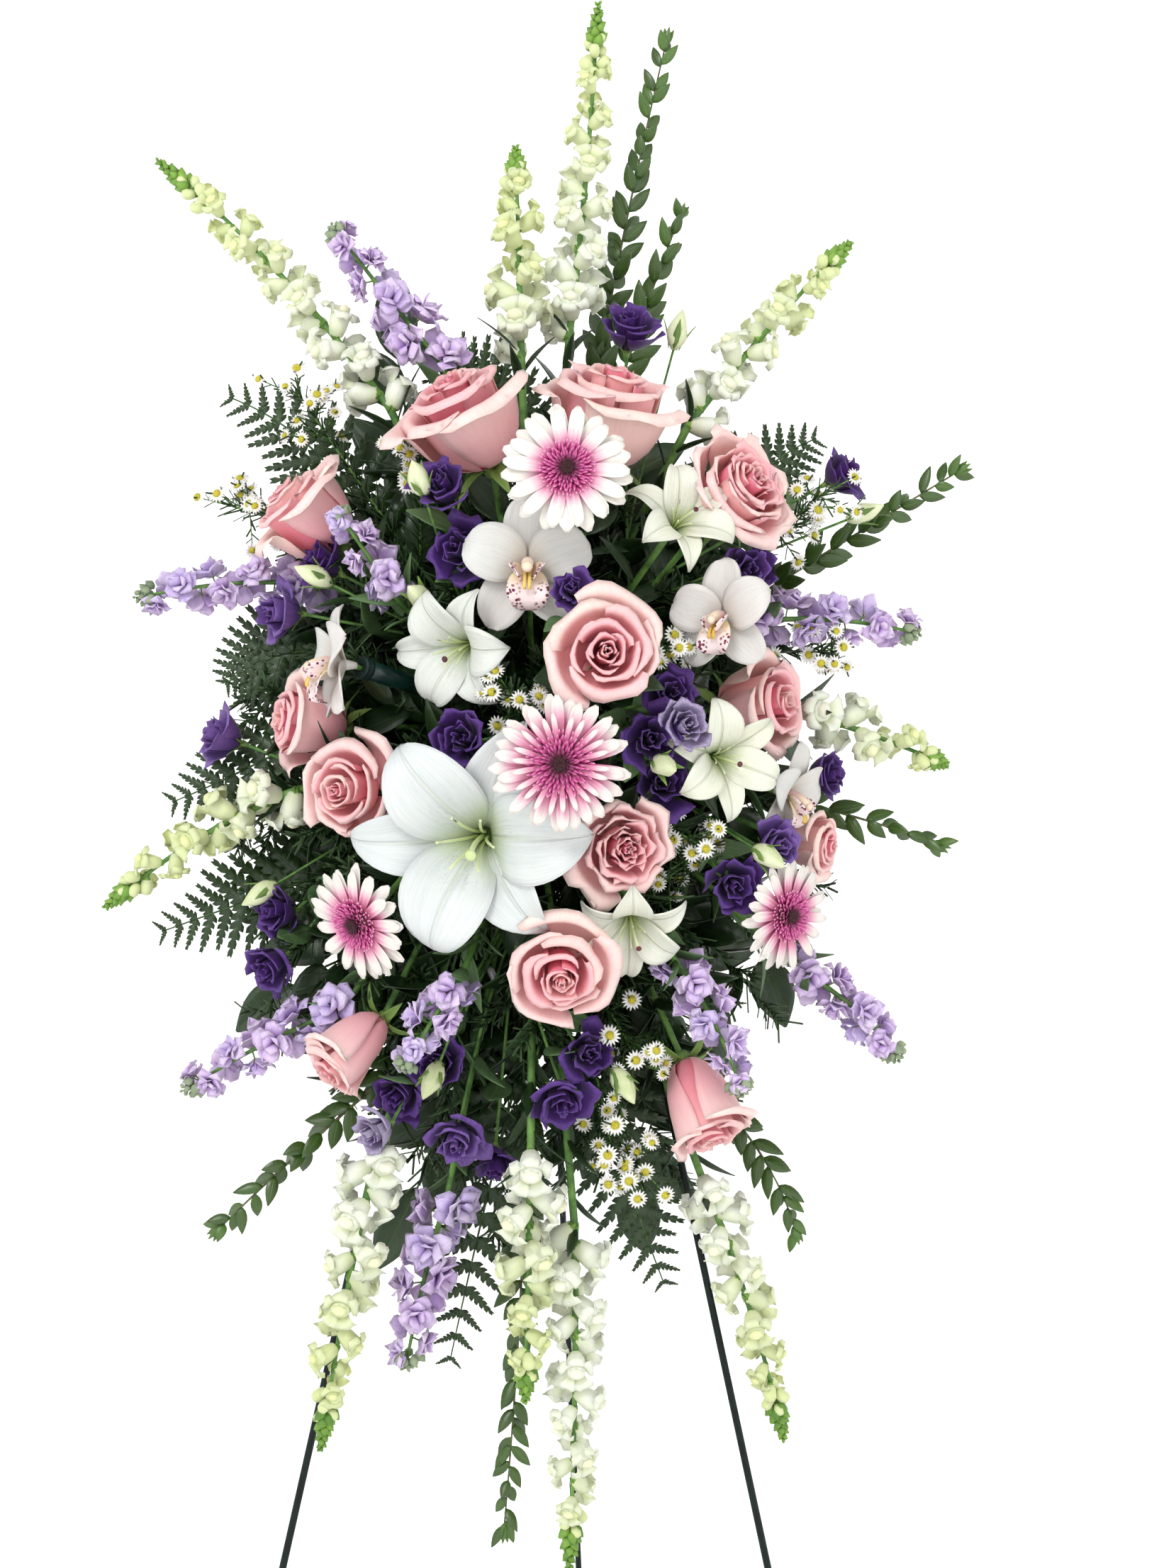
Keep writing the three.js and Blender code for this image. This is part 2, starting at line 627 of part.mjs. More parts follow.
// The planting plan. A bloom: node, kind, radius, [across, out, up], facing [across, out, up].
const SINGLE_BLOOMS = [
  ["rose_top_left", "rose", 56, [-50, 105, 250], [-0.45, 0.4, 0.8]],
  ["rose_top", "rose", 56, [70, 100, 255], [0.2, 0.35, 0.9]],
  ["rose_upper_right", "rose", 43, [180, 110, 190], [0.6, 0.7, 0.4]],
  ["rose_left", "rose", 42, [-185, 60, 175], [-0.7, 0.3, 0.65]],
  ["rose_centre", "rose", 46, [65, 205, 50], [0.1, 1, 0.05]],
  ["rose_right", "rose", 41, [195, 80, 15], [0.8, 0.55, 0.1]],
  ["rose_lower_left", "rose", 39, [-145, 120, -55], [-0.5, 0.85, -0.05]],
  ["rose_far_left", "rose", 38, [-185, 60, 0], [-0.9, 0.4, 0.1]],
  ["rose_small_right", "cup", 33, [80, 165, -100], [0.3, 0.95, -0.1]],
  ["rose_low_centre", "rose", 43, [30, 160, -200], [0.05, 0.9, -0.4]],
  ["rose_bud_low_left", "cup", 32, [-145, 95, -270], [-0.6, 0.45, -0.6]],
  ["rose_low_right", "cup", 38, [145, 80, -320], [0.3, 0.45, -0.8]],
  ["rose_small_far_right", "cup", 26, [240, 50, -100], [0.85, 0.45, -0.1]],
  ["gerbera_top", "gerbera", 50, [35, 190, 190], [0.05, 1, 0.1]],
  ["gerbera_centre", "gerbera", 53, [30, 215, -35], [0, 1, -0.05]],
  ["gerbera_left", "gerbera", 48, [-130, 135, -160], [-0.6, 0.75, -0.3]],
  ["gerbera_right", "gerbera", 45, [210, 110, -155], [0.65, 0.75, -0.1]],
  ["lily_large", "lily", 92, [-40, 165, -95], [-0.2, 0.95, -0.1]],
  ["lily_middle_left", "lily", 50, [-55, 140, 55], [-0.5, 0.8, -0.25]],
  ["lily_upper_right", "lily", 42, [125, 140, 160], [0.3, 0.85, 0.35]],
  ["lily_right", "lily", 42, [158, 145, -30], [0.35, 0.9, -0.1]],
  ["lily_low", "lily", 44, [85, 140, -165], [0.05, 0.75, -0.6]],
  ["orchid_top", "orchid", 55, [4, 145, 120], [0, 1, 0.05]],
  ["orchid_right", "orchid", 46, [155, 145, 80], [-0.45, 0.9, 0]],
  ["orchid_low_right", "orchid", 42, [215, 80, -60], [0.85, 0.1, -0.35]],
];
const TUBED_ORCHID = ["orchid_left", "orchid", 50, [-150, 120, 45], [-0.95, 0.3, 0.05]];

// Branching sprays of lisianthus: a fork, its blooms [radius, spot, facing] and its bud tips.
const LISIANTHUS_SPRAYS = [
  {
    node: "lisianthus_upper_left", fork: [-45, 45, 75],
    blooms: [
      [24, [-62, 142, 182], [-0.3, 0.8, 0.4]],
      [25, [-50, 120, 135], [-0.3, 0.9, 0.1]],
      [24, [-165, 70, 130], [-0.7, 0.5, 0.4]],
      [24, [-200, 60, 90], [-0.8, 0.5, 0]],
    ],
    buds: [[-85, 165, 200], [-90, 140, 105], [-185, 95, 125]],
  },
  {
    node: "lisianthus_top_right", fork: [85, 30, 110],
    blooms: [
      [26, [85, 45, 325], [0.1, 0.6, 0.8]],
      [22, [265, 10, 210], [0.8, 0.4, 0.4]],
      [24, [178, 100, 120], [0.3, 0.9, 0.1]],
    ],
    buds: [[130, 30, 345], [300, 10, 185]],
  },
  {
    node: "lisianthus_centre", fork: [50, 60, 0],
    blooms: [
      [20, [48, 185, 88], [0, 1, 0.1]],
      [25, [-45, 160, -15], [-0.2, 0.9, 0.1]],
      [24, [100, 160, -15], [0.1, 1, 0]],
      [22, [115, 140, 20], [0.2, 0.9, 0.2]],
      [22, [100, 150, -55], [0.1, 1, -0.2]],
      [22, [128, 180, 8], [0.3, 0.9, 0.1]],
    ],
    buds: [[118, 185, -40]],
  },
  {
    node: "lisianthus_right", fork: [110, 40, -50],
    blooms: [
      [22, [248, 36, -42], [0.8, 0.5, 0.1]],
      [24, [165, 120, -130], [0.2, 0.9, -0.2]],
      [22, [200, 110, -100], [0.5, 0.8, 0.1]],
    ],
    buds: [[205, 140, -115]],
  },
  {
    node: "lisianthus_left", fork: [-105, 10, -70],
    blooms: [
      [24, [-255, 20, -10], [-0.8, 0.4, 0.3]],
      [23, [-205, 40, -155], [-0.6, 0.7, 0]],
      [23, [-210, 45, -200], [-0.5, 0.7, -0.4]],
    ],
    buds: [[-235, 45, -150]],
  },
  {
    node: "lisianthus_low", fork: [-10, 45, -175],
    blooms: [
      [25, [30, 110, -300], [0.1, 0.8, -0.5]],
      [22, [50, 105, -265], [0.3, 0.9, 0]],
      [24, [-55, 95, -335], [-0.1, 0.8, -0.5]],
      [24, [-100, 85, -300], [-0.4, 0.8, -0.3]],
      [22, [-70, 90, -275], [-0.2, 0.9, 0]],
      [20, [-118, 105, -328], [-0.6, 0.6, -0.3]],
      [20, [-25, 60, -360], [0, 0.6, -0.8]],
    ],
    buds: [[88, 110, -305], [-80, 120, -300]],
  },
];

// Flower spikes: where the florets begin, how far the middle of the curve bows, and the tip.
const STOCKS = [
  ["stock_top_left", [-70, 20, 300], [-10, 0, 10], [-165, 15, 420], 4],
  ["stock_middle_left", [-100, 90, 95], [0, 5, 0], [-150, 115, 170], 4],
  ["stock_far_left", [-160, 30, 115], [0, 0, 15], [-330, 20, 105], 4],
  ["stock_far_right", [190, 40, 85], [0, 0, 12], [330, 25, 75], 4],
  ["stock_centre_low", [-50, 130, -205], [0, 5, 5], [-95, 145, -275], 4],
  ["stock_lower_left", [-150, 60, -235], [0, 0, 10], [-285, 45, -305], 4],
  ["stock_lower_right", [120, 105, -190], [10, 5, 5], [175, 110, -300], 4],
  ["stock_right", [220, 50, -200], [10, 0, 10], [310, 40, -280], 4],
  ["stock_bottom", [-65, 55, -390], [-5, 5, 0], [-100, 45, -535], 4],
];
const SNAPDRAGONS = [
  ["snapdragon_top", [35, -10, 330], [5, 0, 0], [60, -30, 625], 4],
  ["snapdragon_top_left", [-5, 10, 310], [0, 0, 0], [-10, 5, 490], 4],
  ["snapdragon_far_top_left", [-115, 10, 265], [5, 0, 25], [-320, -20, 485], 4],
  ["snapdragon_top_right", [135, 25, 250], [0, 0, 10], [275, 0, 410], 4],
  ["snapdragon_right", [230, 20, 10], [0, 0, 5], [355, 10, -35], 4],
  ["snapdragon_left", [-190, 45, -55], [0, 0, 20], [-355, 20, -155], 4],
  ["snapdragon_bottom_left", [-120, 75, -345], [-5, 5, 0], [-165, 90, -590], 4],
  ["snapdragon_bottom_centre", [5, 100, -345], [0, 8, 0], [0, 75, -555], 4],
  ["snapdragon_bottom", [40, 70, -410], [5, 5, 0], [35, 60, -700], 5],
  ["snapdragon_bottom_right", [145, 45, -375], [10, 0, 5], [215, 30, -600], 4],
];

// Greens: each main stem forks once outside the foam. A fork, and for each frond its bend and its tip.
// Rows that end in true are stems of broad dark leaves.
const FERN_STEMS = [
  [[-95, -35, 60], [[-135, -5, 235], [-255, -15, 280]], [[-205, 0, 80], [-255, 0, 35]],
    [[-200, 5, -25], [-300, 0, -65]], [[-95, -55, 190], [-115, -25, 335], true]],
  [[-90, -35, -100], [[-200, 0, -135], [-310, -5, -175]], [[-120, -45, -150], [-215, -30, -235], true]],
  [[100, -35, 50], [[165, -10, 215], [245, -20, 245]], [[138, -70, -55], [212, -45, -225], true]],
  [[0, -55, 190], [[-10, -50, 285], [-85, -40, 325]]],
  [[20, 0, -190], [[-30, 40, -370], [-65, 15, -535]], [[70, 40, -350], [115, 15, -470]],
    [[-45, -50, -270], [-105, -40, -420], true], [[60, -50, -280], [95, -40, -415], true]],
];
const MYRTLE_STEMS = [
  [[45, -55, 200], [[55, -45, 320], [120, -55, 600]], [[95, -35, 350], [130, -45, 440]]],
  [[115, -60, 60], [[225, -5, 130], [365, -5, 215]]],
  [[110, -35, -40], [[250, 5, -65], [345, 0, -100]]],
  [[-5, -5, -215], [[190, 15, -295], [225, 10, -425]], [[-160, 20, -325], [-260, 5, -425]],
    [[5, -30, -400], [-20, 10, -680]]],
];
const ASTER_STEMS = [
  [[-105, 5, 150], [-190, 30, 275], [-250, 0, 185], [-85, 60, 215]],
  [[115, -10, 75], [245, 45, 190], [115, 130, 60], [255, 20, 60]],
  [[40, 30, -200], [145, 100, -100], [90, 85, -270], [96, 72, -380]],
];

// The easel.

function rod(from, to, radius, sides = 6) {
  const length = from.distanceTo(to);
  const shape = new THREE.CylinderGeometry(radius, radius, length, sides);
  const turn = new THREE.Quaternion();
  turn.setFromUnitVectors(new THREE.Vector3(0, 1, 0), to.clone().sub(from).normalize());
  const lie = new THREE.Matrix4().compose(from.clone().lerp(to, 0.5), turn, new THREE.Vector3(1, 1, 1));
  return solidOf(shape, lie);
}

function block(wide, deep, tall, x = 0, y = 0, z = 0) {
  return solidOf(new THREE.BoxGeometry(wide, deep, tall), new THREE.Matrix4().setPosition(x, y, z));
}

// A point of the front frame's leaning plane, by its height.
function onFrame(x, height) {
  return new THREE.Vector3(x, EASEL.frontFeet + (EASEL.lean * height) / EASEL.apexHeight, height);
}

function legX(height) {
  return EASEL.apexHalf + (EASEL.halfSpread - EASEL.apexHalf) * (1 - height / EASEL.apexHeight);
}

// Everything that reaches below the floor is cut off flat.
const UNDERGROUND = block(2000, 2000, 100, 0, 0, -50);

function frontFrame() {
  const pieces = [-1, 1].map((hand) => {
    const below = onFrame(hand * legX(-20), -20);
    return rod(below, onFrame(hand * EASEL.apexHalf, EASEL.apexHeight), EASEL.wire);
  });
  EASEL.barHeights.forEach((height) => {
    const reach = legX(height) + EASEL.wire;
    pieces.push(rod(onFrame(-reach, height), onFrame(reach, height), EASEL.wire));
  });
  const tip = EASEL.apexHalf + EASEL.wire + 1;
  pieces.push(rod(onFrame(-tip, EASEL.apexHeight), onFrame(tip, EASEL.apexHeight), EASEL.wire, 12));
  return joined(pieces).subtract(UNDERGROUND);
}

// The rear leg hangs on the apex bar by an eye, and carries a small collar.
function rearLeg() {
  const apex = onFrame(0, EASEL.apexHeight);
  const inner = EASEL.wire + 2 * GAP;
  const half = EASEL.eyeWidth / 2;
  const profile = [
    [inner, -half], [EASEL.eyeOuter, -half], [EASEL.eyeOuter, half], [inner, half], [inner, -half],
  ].map(([r, h]) => new THREE.Vector2(r, h));
  const lie = new THREE.Matrix4().setPosition(apex).multiply(new THREE.Matrix4().makeRotationZ(Math.PI / 2));
  const eye = solidOf(new THREE.LatheGeometry(profile, 12), lie);
  const drop = (height) => {
    const share = 1 - height / EASEL.apexHeight;
    return new THREE.Vector3(EASEL.rearShift * share, apex.y + EASEL.rearReach * share, height);
  };
  const start = EASEL.apexHeight - (inner + EASEL.eyeOuter) / 2 - 0.5;
  const leg = rod(drop(start), drop(-20), EASEL.wire);
  const collarTop = EASEL.collarHeight + EASEL.collarLength;
  const collar = rod(drop(EASEL.collarHeight), drop(collarTop), EASEL.collarRadius);
  return joined([eye, leg, collar]).subtract(UNDERGROUND);
}

// The foam and its cage lean back with the frame, and stand just in front of its bars.
const FOAM_DISTANCE = FOAM.deep / 2 + GAP + CAGE.wall + GAP + EASEL.wire;
const FOAM_MIDDLE = new THREE.Vector3(
  0,
  (EASEL.lean * FOAM.middleHeight) / EASEL.apexHeight - FOAM_DISTANCE / Math.cos(LEAN_ANGLE) - ARRANGEMENT_BACK,
  0,
);
const FOAM_POSE = new THREE.Matrix4().setPosition(FOAM_MIDDLE);
FOAM_POSE.multiply(new THREE.Matrix4().makeRotationX(-LEAN_ANGLE));
const FOAM_UNPOSE = FOAM_POSE.clone().invert();

// A flat ring with square corners, wide and deep inside, lying level.
function band(wide, deep, tall) {
  const wall = CAGE.wall;
  const outline = new THREE.Shape([
    new THREE.Vector2(-wide / 2 - wall, -deep / 2 - wall),
    new THREE.Vector2(wide / 2 + wall, -deep / 2 - wall),
    new THREE.Vector2(wide / 2 + wall, deep / 2 + wall),
    new THREE.Vector2(-wide / 2 - wall, deep / 2 + wall),
  ]);
  outline.holes.push(
    new THREE.Path([
      new THREE.Vector2(-wide / 2, -deep / 2),
      new THREE.Vector2(-wide / 2, deep / 2),
      new THREE.Vector2(wide / 2, deep / 2),
      new THREE.Vector2(wide / 2, -deep / 2),
    ]),
  );
  const shape = new THREE.ExtrudeGeometry(outline, { depth: tall, bevelEnabled: false, steps: 1 });
  return shape.translate(0, 0, -tall / 2);
}

function cage() {
  const wide = FOAM.wide + 2 * GAP;
  const deep = FOAM.deep + 2 * GAP;
  const tall = FOAM.tall + 2 * GAP;
  const pieces = CAGE.hoops.map((height) => {
    return solidOf(band(wide, deep, CAGE.strap), new THREE.Matrix4().setPosition(0, 0, height));
  });
  CAGE.straps.forEach((x) => {
    const upright = band(tall, deep, CAGE.strap).rotateY(Math.PI / 2).translate(x, 0, 0);
    pieces.push(solidOf(upright));
  });
  const back = deep / 2 + CAGE.wall;
  const behind = FOAM_DISTANCE + EASEL.wire + GAP;
  EASEL.barHeights.forEach((height) => {
    const bar = (height - FOAM.middleHeight) / Math.cos(LEAN_ANGLE);
    const above = bar + EASEL.wire + GAP;
    const hook = new THREE.Shape([
      new THREE.Vector2(back - 1, above),
      new THREE.Vector2(behind, above),
      new THREE.Vector2(behind, bar - CAGE.hookDrop),
      new THREE.Vector2(behind + CAGE.wall, bar - CAGE.hookDrop),
      new THREE.Vector2(behind + CAGE.wall, above + CAGE.wall),
      new THREE.Vector2(back - 1, above + CAGE.wall),
    ]);
    CAGE.straps.forEach((x) => {
      const shape = new THREE.ExtrudeGeometry(hook, { depth: CAGE.hook, bevelEnabled: false, steps: 1 });
      shape.translate(0, 0, -CAGE.hook / 2).rotateX(Math.PI / 2).rotateZ(Math.PI / 2).translate(x, 0, 0);
      pieces.push(solidOf(shape));
    });
  });
  return joined(pieces).transform(FOAM_POSE.elements);
}

// Where a stem for a target goes into the foam: halfway through the cage's wall, clear of its bars.
function entry(target, radius) {
  const from = MEETING.clone().applyMatrix4(FOAM_UNPOSE);
  const way = target.clone().applyMatrix4(FOAM_UNPOSE).sub(from);
  const halfWall = GAP + CAGE.wall / 2;
  const half = [FOAM.wide, FOAM.deep, FOAM.tall].map((size) => size / 2 + halfWall);
  const shares = [0, 1, 2].map((k) => {
    const step = way.getComponent(k);
    return Math.abs(step) < 1e-6 ? Infinity : (Math.sign(step) * half[k] - from.getComponent(k)) / step;
  });
  const wallAxis = shares.indexOf(Math.min(...shares));
  const hit = from.clone().addScaledVector(way, shares[wallAxis]);
  const slant = way.length() / Math.abs(way.getComponent(wallAxis));
  const clear = CAGE.strap / 2 + radius * slant + (CAGE.wall / 2) * Math.sqrt(slant * slant - 1) + 1;
  const nudge = (axis, bars) => {
    bars.forEach((bar) => {
      const off = hit.getComponent(axis) - bar;
      if (Math.abs(off) < clear) hit.setComponent(axis, bar + (off < 0 ? -clear : clear));
    });
  };
  if (wallAxis !== 2) nudge(2, CAGE.hoops);
  if (wallAxis !== 0) nudge(0, CAGE.straps);
  return hit.applyMatrix4(FOAM_POSE);
}

// Plants. Each is one solid with the bores that its stems stand in.

const BORE = 0.5;
const BORE_REACH = STEM_DEPTH + 14;

function boreFor(inner, target, radius, sides = STEM_SIDES, reach = BORE_REACH) {
  const way = target.clone().sub(inner).normalize();
  const deeper = inner.clone().addScaledVector(way, -BORE);
  return stalk(deeper, inner.clone().addScaledVector(way, reach), radius + 2 * BORE, sides);
}

// The inner end of a straight stem that reaches the target from inside the foam.
function rooted(target, radius) {
  const mouth = entry(target, radius);
  const way = target.clone().sub(mouth).normalize();
  return mouth.addScaledVector(way, -STEM_DEPTH);
}

// A bloom on a straight stem from the given end to the bloom's neck.
function bloom(kind, size, place, facing, seed, from, radius) {
  const plan = BLOOMS[kind];
  const axis = facing.clone().normalize();
  const origin = place.clone().addScaledVector(axis, -plan.middle * size);
  const neck = origin.clone().addScaledVector(axis, plan.foot * size);
  const start = from ?? rooted(neck, radius);
  const stem = { points: [neck, start], radius, side: across(neck.clone().sub(start)) };
  const skin = flower(new Skin(), pose(origin, axis), size, plan.whorls, plan.crown, stem, seed);
  return { solid: skin.solid(), start, neck };
}

function singleBloom([node, kind, size, place, facing], seed) {
  const radius = BLOOMS[kind].stem;
  const { solid, start, neck } = bloom(kind, size, spot(...place), spot(...facing), seed, null, radius);
  const material = FINISH[kind === "cup" ? "rose" : kind];
  return { node, material, solid, bores: [boreFor(start, neck, radius)] };
}

function lisianthusSpray({ node, fork, blooms, buds }, seed) {
  const split = spot(...fork);
  const radius = BRANCH.main;
  const start = rooted(split, radius);
  const beyond = split.clone().sub(start).normalize().addScaledVector(split, 1);
  const pieces = [stalk(start, beyond, radius, STEM_SIDES)];
  const branches = blooms.length + buds.length;
  const joint = (k) => start.clone().lerp(split, 1 - (BRANCH.spread * k) / branches);
  blooms.forEach(([size, place, direction], i) => {
    const [at, facing] = [spot(...place), spot(...direction)];
    pieces.push(bloom("lisianthus", size, at, facing, seed + i, joint(i), BRANCH.twig).solid);
  });
  buds.forEach((tip, i) => {
    pieces.push(budOnStalk(joint(blooms.length + i), spot(...tip), BRANCH.bud, BRANCH.budRadius));
  });
  return { node, material: FINISH.lisianthus, solid: joined(pieces), bores: [boreFor(start, split, radius)] };
}

function spike([node, from, bow, to, levels], material, floret) {
  const first = spot(...from);
  const last = spot(...to);
  const bend = first.clone().lerp(last, 0.5).add(spot(...bow));
  const curve = new THREE.QuadraticBezierCurve3(first, bend, last);
  const start = rooted(first, floret.stem);
  const side = across(first.clone().sub(start));
  const solid = spikeSkin(curve, levels, floret, start, side);
  return { node, material, solid, bores: [boreFor(start, first, floret.stem)] };
}

// A group of greens: main stems from one root inside the foam, each with what grows from its fork.
function greens(node, material, root, stems, radius, grow) {
  const pieces = [];
  const bores = [];
  stems.forEach(([place, ...tops]) => {
    const fork = spot(...place);
    const way = fork.clone().sub(root).normalize();
    pieces.push(stalk(root, fork.clone().addScaledVector(way, 1), radius, STEM_SIDES));
    bores.push(boreFor(root, fork, radius, STEM_SIDES, root.distanceTo(fork)));
    tops.forEach((top, k) => {
      pieces.push(grow(top, root.clone().lerp(fork, 1 - FORK_STEP * k)));
    });
  });
  return { node, material, solid: joined(pieces), bores };
}

const TOWARDS_VIEWER = new THREE.Vector3(0, -1, 0.15);

// The midrib of a green: it leaves the fork towards the point of its bend and ends at its tip.
function midribOf(fork, bend, tip, bare, shares) {
  const curve = new THREE.QuadraticBezierCurve3(fork, spot(...bend), spot(...tip));
  return [fork, ...shares.map((share) => curve.getPoint(bare + (1 - bare) * share))];
}

function fernFrond([bend, tip, broad], fork) {
  if (broad) return leafStem([bend, tip], fork);
  const { rows, rib, thick } = FERN;
  const shares = Array.from({ length: rows + 1 }, (_, i) => i / rows);
  const pinna = (i) => {
    if (i === 0) return [];
    const long = FERN.pinna * (1 - FERN.shrink * ((i - 1) / rows));
    return [[long * 0.5, long, -long * 0.12]];
  };
  return frond(midribOf(fork, bend, tip, FERN.bare, shares), TOWARDS_VIEWER, rib, thick, pinna);
}

function myrtleBranch([bend, tip], fork) {
  const { rib, thick } = MYRTLE;
  const pairs = Math.round(spot(...bend).distanceTo(spot(...tip)) / MYRTLE.spacing);
  const shares = Array.from({ length: pairs * 2 + 1 }, (_, i) => (i - (i % 2 ? 0.4 : 0)) / (pairs * 2));
  const leaf = (i) => {
    if (i % 2 === 0) return [];
    const long = MYRTLE.leaf * (1 - MYRTLE.shrink * (i / (pairs * 2)));
    return [[0.1, 0.46], [0.62, 0.76], [0.46, 0.2]].map(([a, s]) => [a * long, s * long, 0.15 * long]);
  };
  return frond(midribOf(fork, bend, tip, MYRTLE.bare, shares), TOWARDS_VIEWER, rib, thick, leaf);
}

// Two pairs of broad leaves on a stem.
function leafStem([bend, tip], fork) {
  const shares = [0, 0.1, 0.45, 0.55, 1];
  const leaf = (i) => (i % 2 ? BROAD.leaf : []);
  return frond(midribOf(fork, bend, tip, BROAD.bare, shares), TOWARDS_VIEWER, BROAD.rib, BROAD.thick, leaf);
}

// An orchid whose stem stands in the tube, and the tube.
function tubedOrchid([node, kind, size, place, facing], seed) {
  const radius = BLOOMS[kind].stem;
  const { start, neck } = bloom(kind, size, spot(...place), spot(...facing), seed, null, radius);
  const way = neck.clone().sub(start).normalize();
  const mouth = neck.clone().addScaledVector(way, -TUBE.below);
  const stemEnd = mouth.clone().addScaledVector(way, BORE - TUBE.boreDepth);
  const { solid } = bloom(kind, size, spot(...place), spot(...facing), seed, stemEnd, radius);
  const long = mouth.distanceTo(start);
  const { pickRadius, taper, capRadius, cap, bore, boreDepth } = TUBE;
  const foot = long - TUBE.body;
  const profile = [
    [0, 0], [pickRadius, 0], [pickRadius, foot - taper], [TUBE.radius, foot], [TUBE.radius, long - cap],
    [capRadius, long - cap], [capRadius, long], [bore, long], [bore, long - boreDepth], [0, long - boreDepth],
  ].map(([r, h]) => new THREE.Vector2(r, h));
  const turn = new THREE.Quaternion().setFromUnitVectors(new THREE.Vector3(0, 1, 0), way);
  const lie = new THREE.Matrix4().compose(start, turn, new THREE.Vector3(1, 1, 1));
  const tube = solidOf(new THREE.LatheGeometry(profile, TUBE_SEGMENTS), lie);
  return [
    { node, material: FINISH.orchid, solid, bores: [] },
    {
      node: "orchid_water_tube", material: FINISH.tube, solid: tube,
      bores: [boreFor(start, neck, pickRadius - BORE, TUBE_SEGMENTS)],
    },
  ];
}

const ASTER = [{ petals: 5, ring: 0.5, reach: 1, level: 0 }];

// Three daisies that grow from the three faces of a stalk's pointed top.
function asterSpray(place, from) {
  const { stalk: radius, twig, head, reach, rise } = ASTER_SPRAY;
  const top = spot(...place);
  const way = top.clone().sub(from).normalize();
  const side = across(way);
  const other = way.clone().cross(side);
  const skin = new Skin();
  const [low, high] = [from, top].map((p) => {
    return [0, 1, 2].map((j) => {
      const angle = (j / 3) * Math.PI * 2;
      const q = p.clone().addScaledVector(side, radius * Math.cos(angle));
      q.addScaledVector(other, radius * Math.sin(angle));
      return skin.point(q.x, q.y, q.z);
    });
  });
  const point = top.clone().addScaledVector(way, 2);
  const peak = skin.point(point.x, point.y, point.z);
  skin.face(low[0], low[2], low[1]);
  for (let j = 0; j < 3; j++) {
    const next = (j + 1) % 3;
    skin.face(low[j], low[next], high[next]);
    skin.face(low[j], high[next], high[j]);
    const face = [high[j], high[next], peak];
    const [a, b, c] = face.map((index) => skin.place(index));
    const normal = b.clone().sub(a).cross(c.clone().sub(a)).normalize();
    const middle = a.clone().add(b).add(c).divideScalar(3);
    const tip = middle.clone().addScaledVector(normal, reach).addScaledVector(way, rise);
    const facing = tip.clone().sub(middle).normalize().add(spot(0, 0.6, 0.1)).normalize();
    const foot = tip.clone().addScaledVector(facing, -2);
    const stem = { points: [foot], radius: twig, side: a.clone().sub(middle), face };
    flower(skin, pose(tip, facing), head, ASTER, 0.25, stem, 1);
  }
  return skin.solid();
}

const ASTER_ROOT = new THREE.Vector3(10, 26, 10);
const MYRTLE_ROOT = new THREE.Vector3(0, 36, -35);
const FERN_ROOT = new THREE.Vector3(-5, 34, 35);

const plants = [
  ...SINGLE_BLOOMS.map((row, i) => singleBloom(row, 11 + i)),
  ...tubedOrchid(TUBED_ORCHID, 37),
  ...LISIANTHUS_SPRAYS.map((row, i) => lisianthusSpray(row, 101 + 10 * i)),
  ...STOCKS.map((row) => spike(row, FINISH.stock, STOCK_FLORET)),
  ...SNAPDRAGONS.map((row) => spike(row, FINISH.snapdragon, SNAPDRAGON_FLORET)),
  greens("aster", FINISH.aster, ASTER_ROOT, ASTER_STEMS, 1.8, asterSpray),
  greens("myrtle", FINISH.myrtle, MYRTLE_ROOT, MYRTLE_STEMS, 2, myrtleBranch),
  greens("fern_and_leaves", FINISH.fern, FERN_ROOT, FERN_STEMS, 2, fernFrond),
];

const group = new THREE.Group();
group.name = "standing_funeral_spray";
group.add(meshOf("easel_front_frame", frontFrame(), FINISH.wire));
group.add(meshOf("easel_rear_leg", rearLeg(), FINISH.wire));

const arrangement = new THREE.Group();
arrangement.position.set(0, EASEL.frontFeet + ARRANGEMENT_BACK, FOAM.middleHeight);
group.add(arrangement);

const brick = block(FOAM.wide, FOAM.deep, FOAM.tall).transform(FOAM_POSE.elements);
const bores = plants.flatMap((plant) => plant.bores);
arrangement.add(meshOf("foam_brick", largestBody(brick.subtract(joined(bores))), FINISH.foam));
arrangement.add(meshOf("foam_cage", cage(), FINISH.cage));
plants.forEach((plant) => {
  arrangement.add(meshOf(plant.node, plant.solid, plant.material));
});

export default group;
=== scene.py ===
# %% [markdown]
# A standing funeral spray is a cushion of cut flowers that fans out from one caged brick of wet foam on a
# folding wire easel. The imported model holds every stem, head and frond as a plain solid. This lesson dresses
# those solids: it works out petals, leaves and wires as surfaces, and gives each one its finish.
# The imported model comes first, because every later piece stands exactly where one of its solids stands.

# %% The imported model
import json
import math

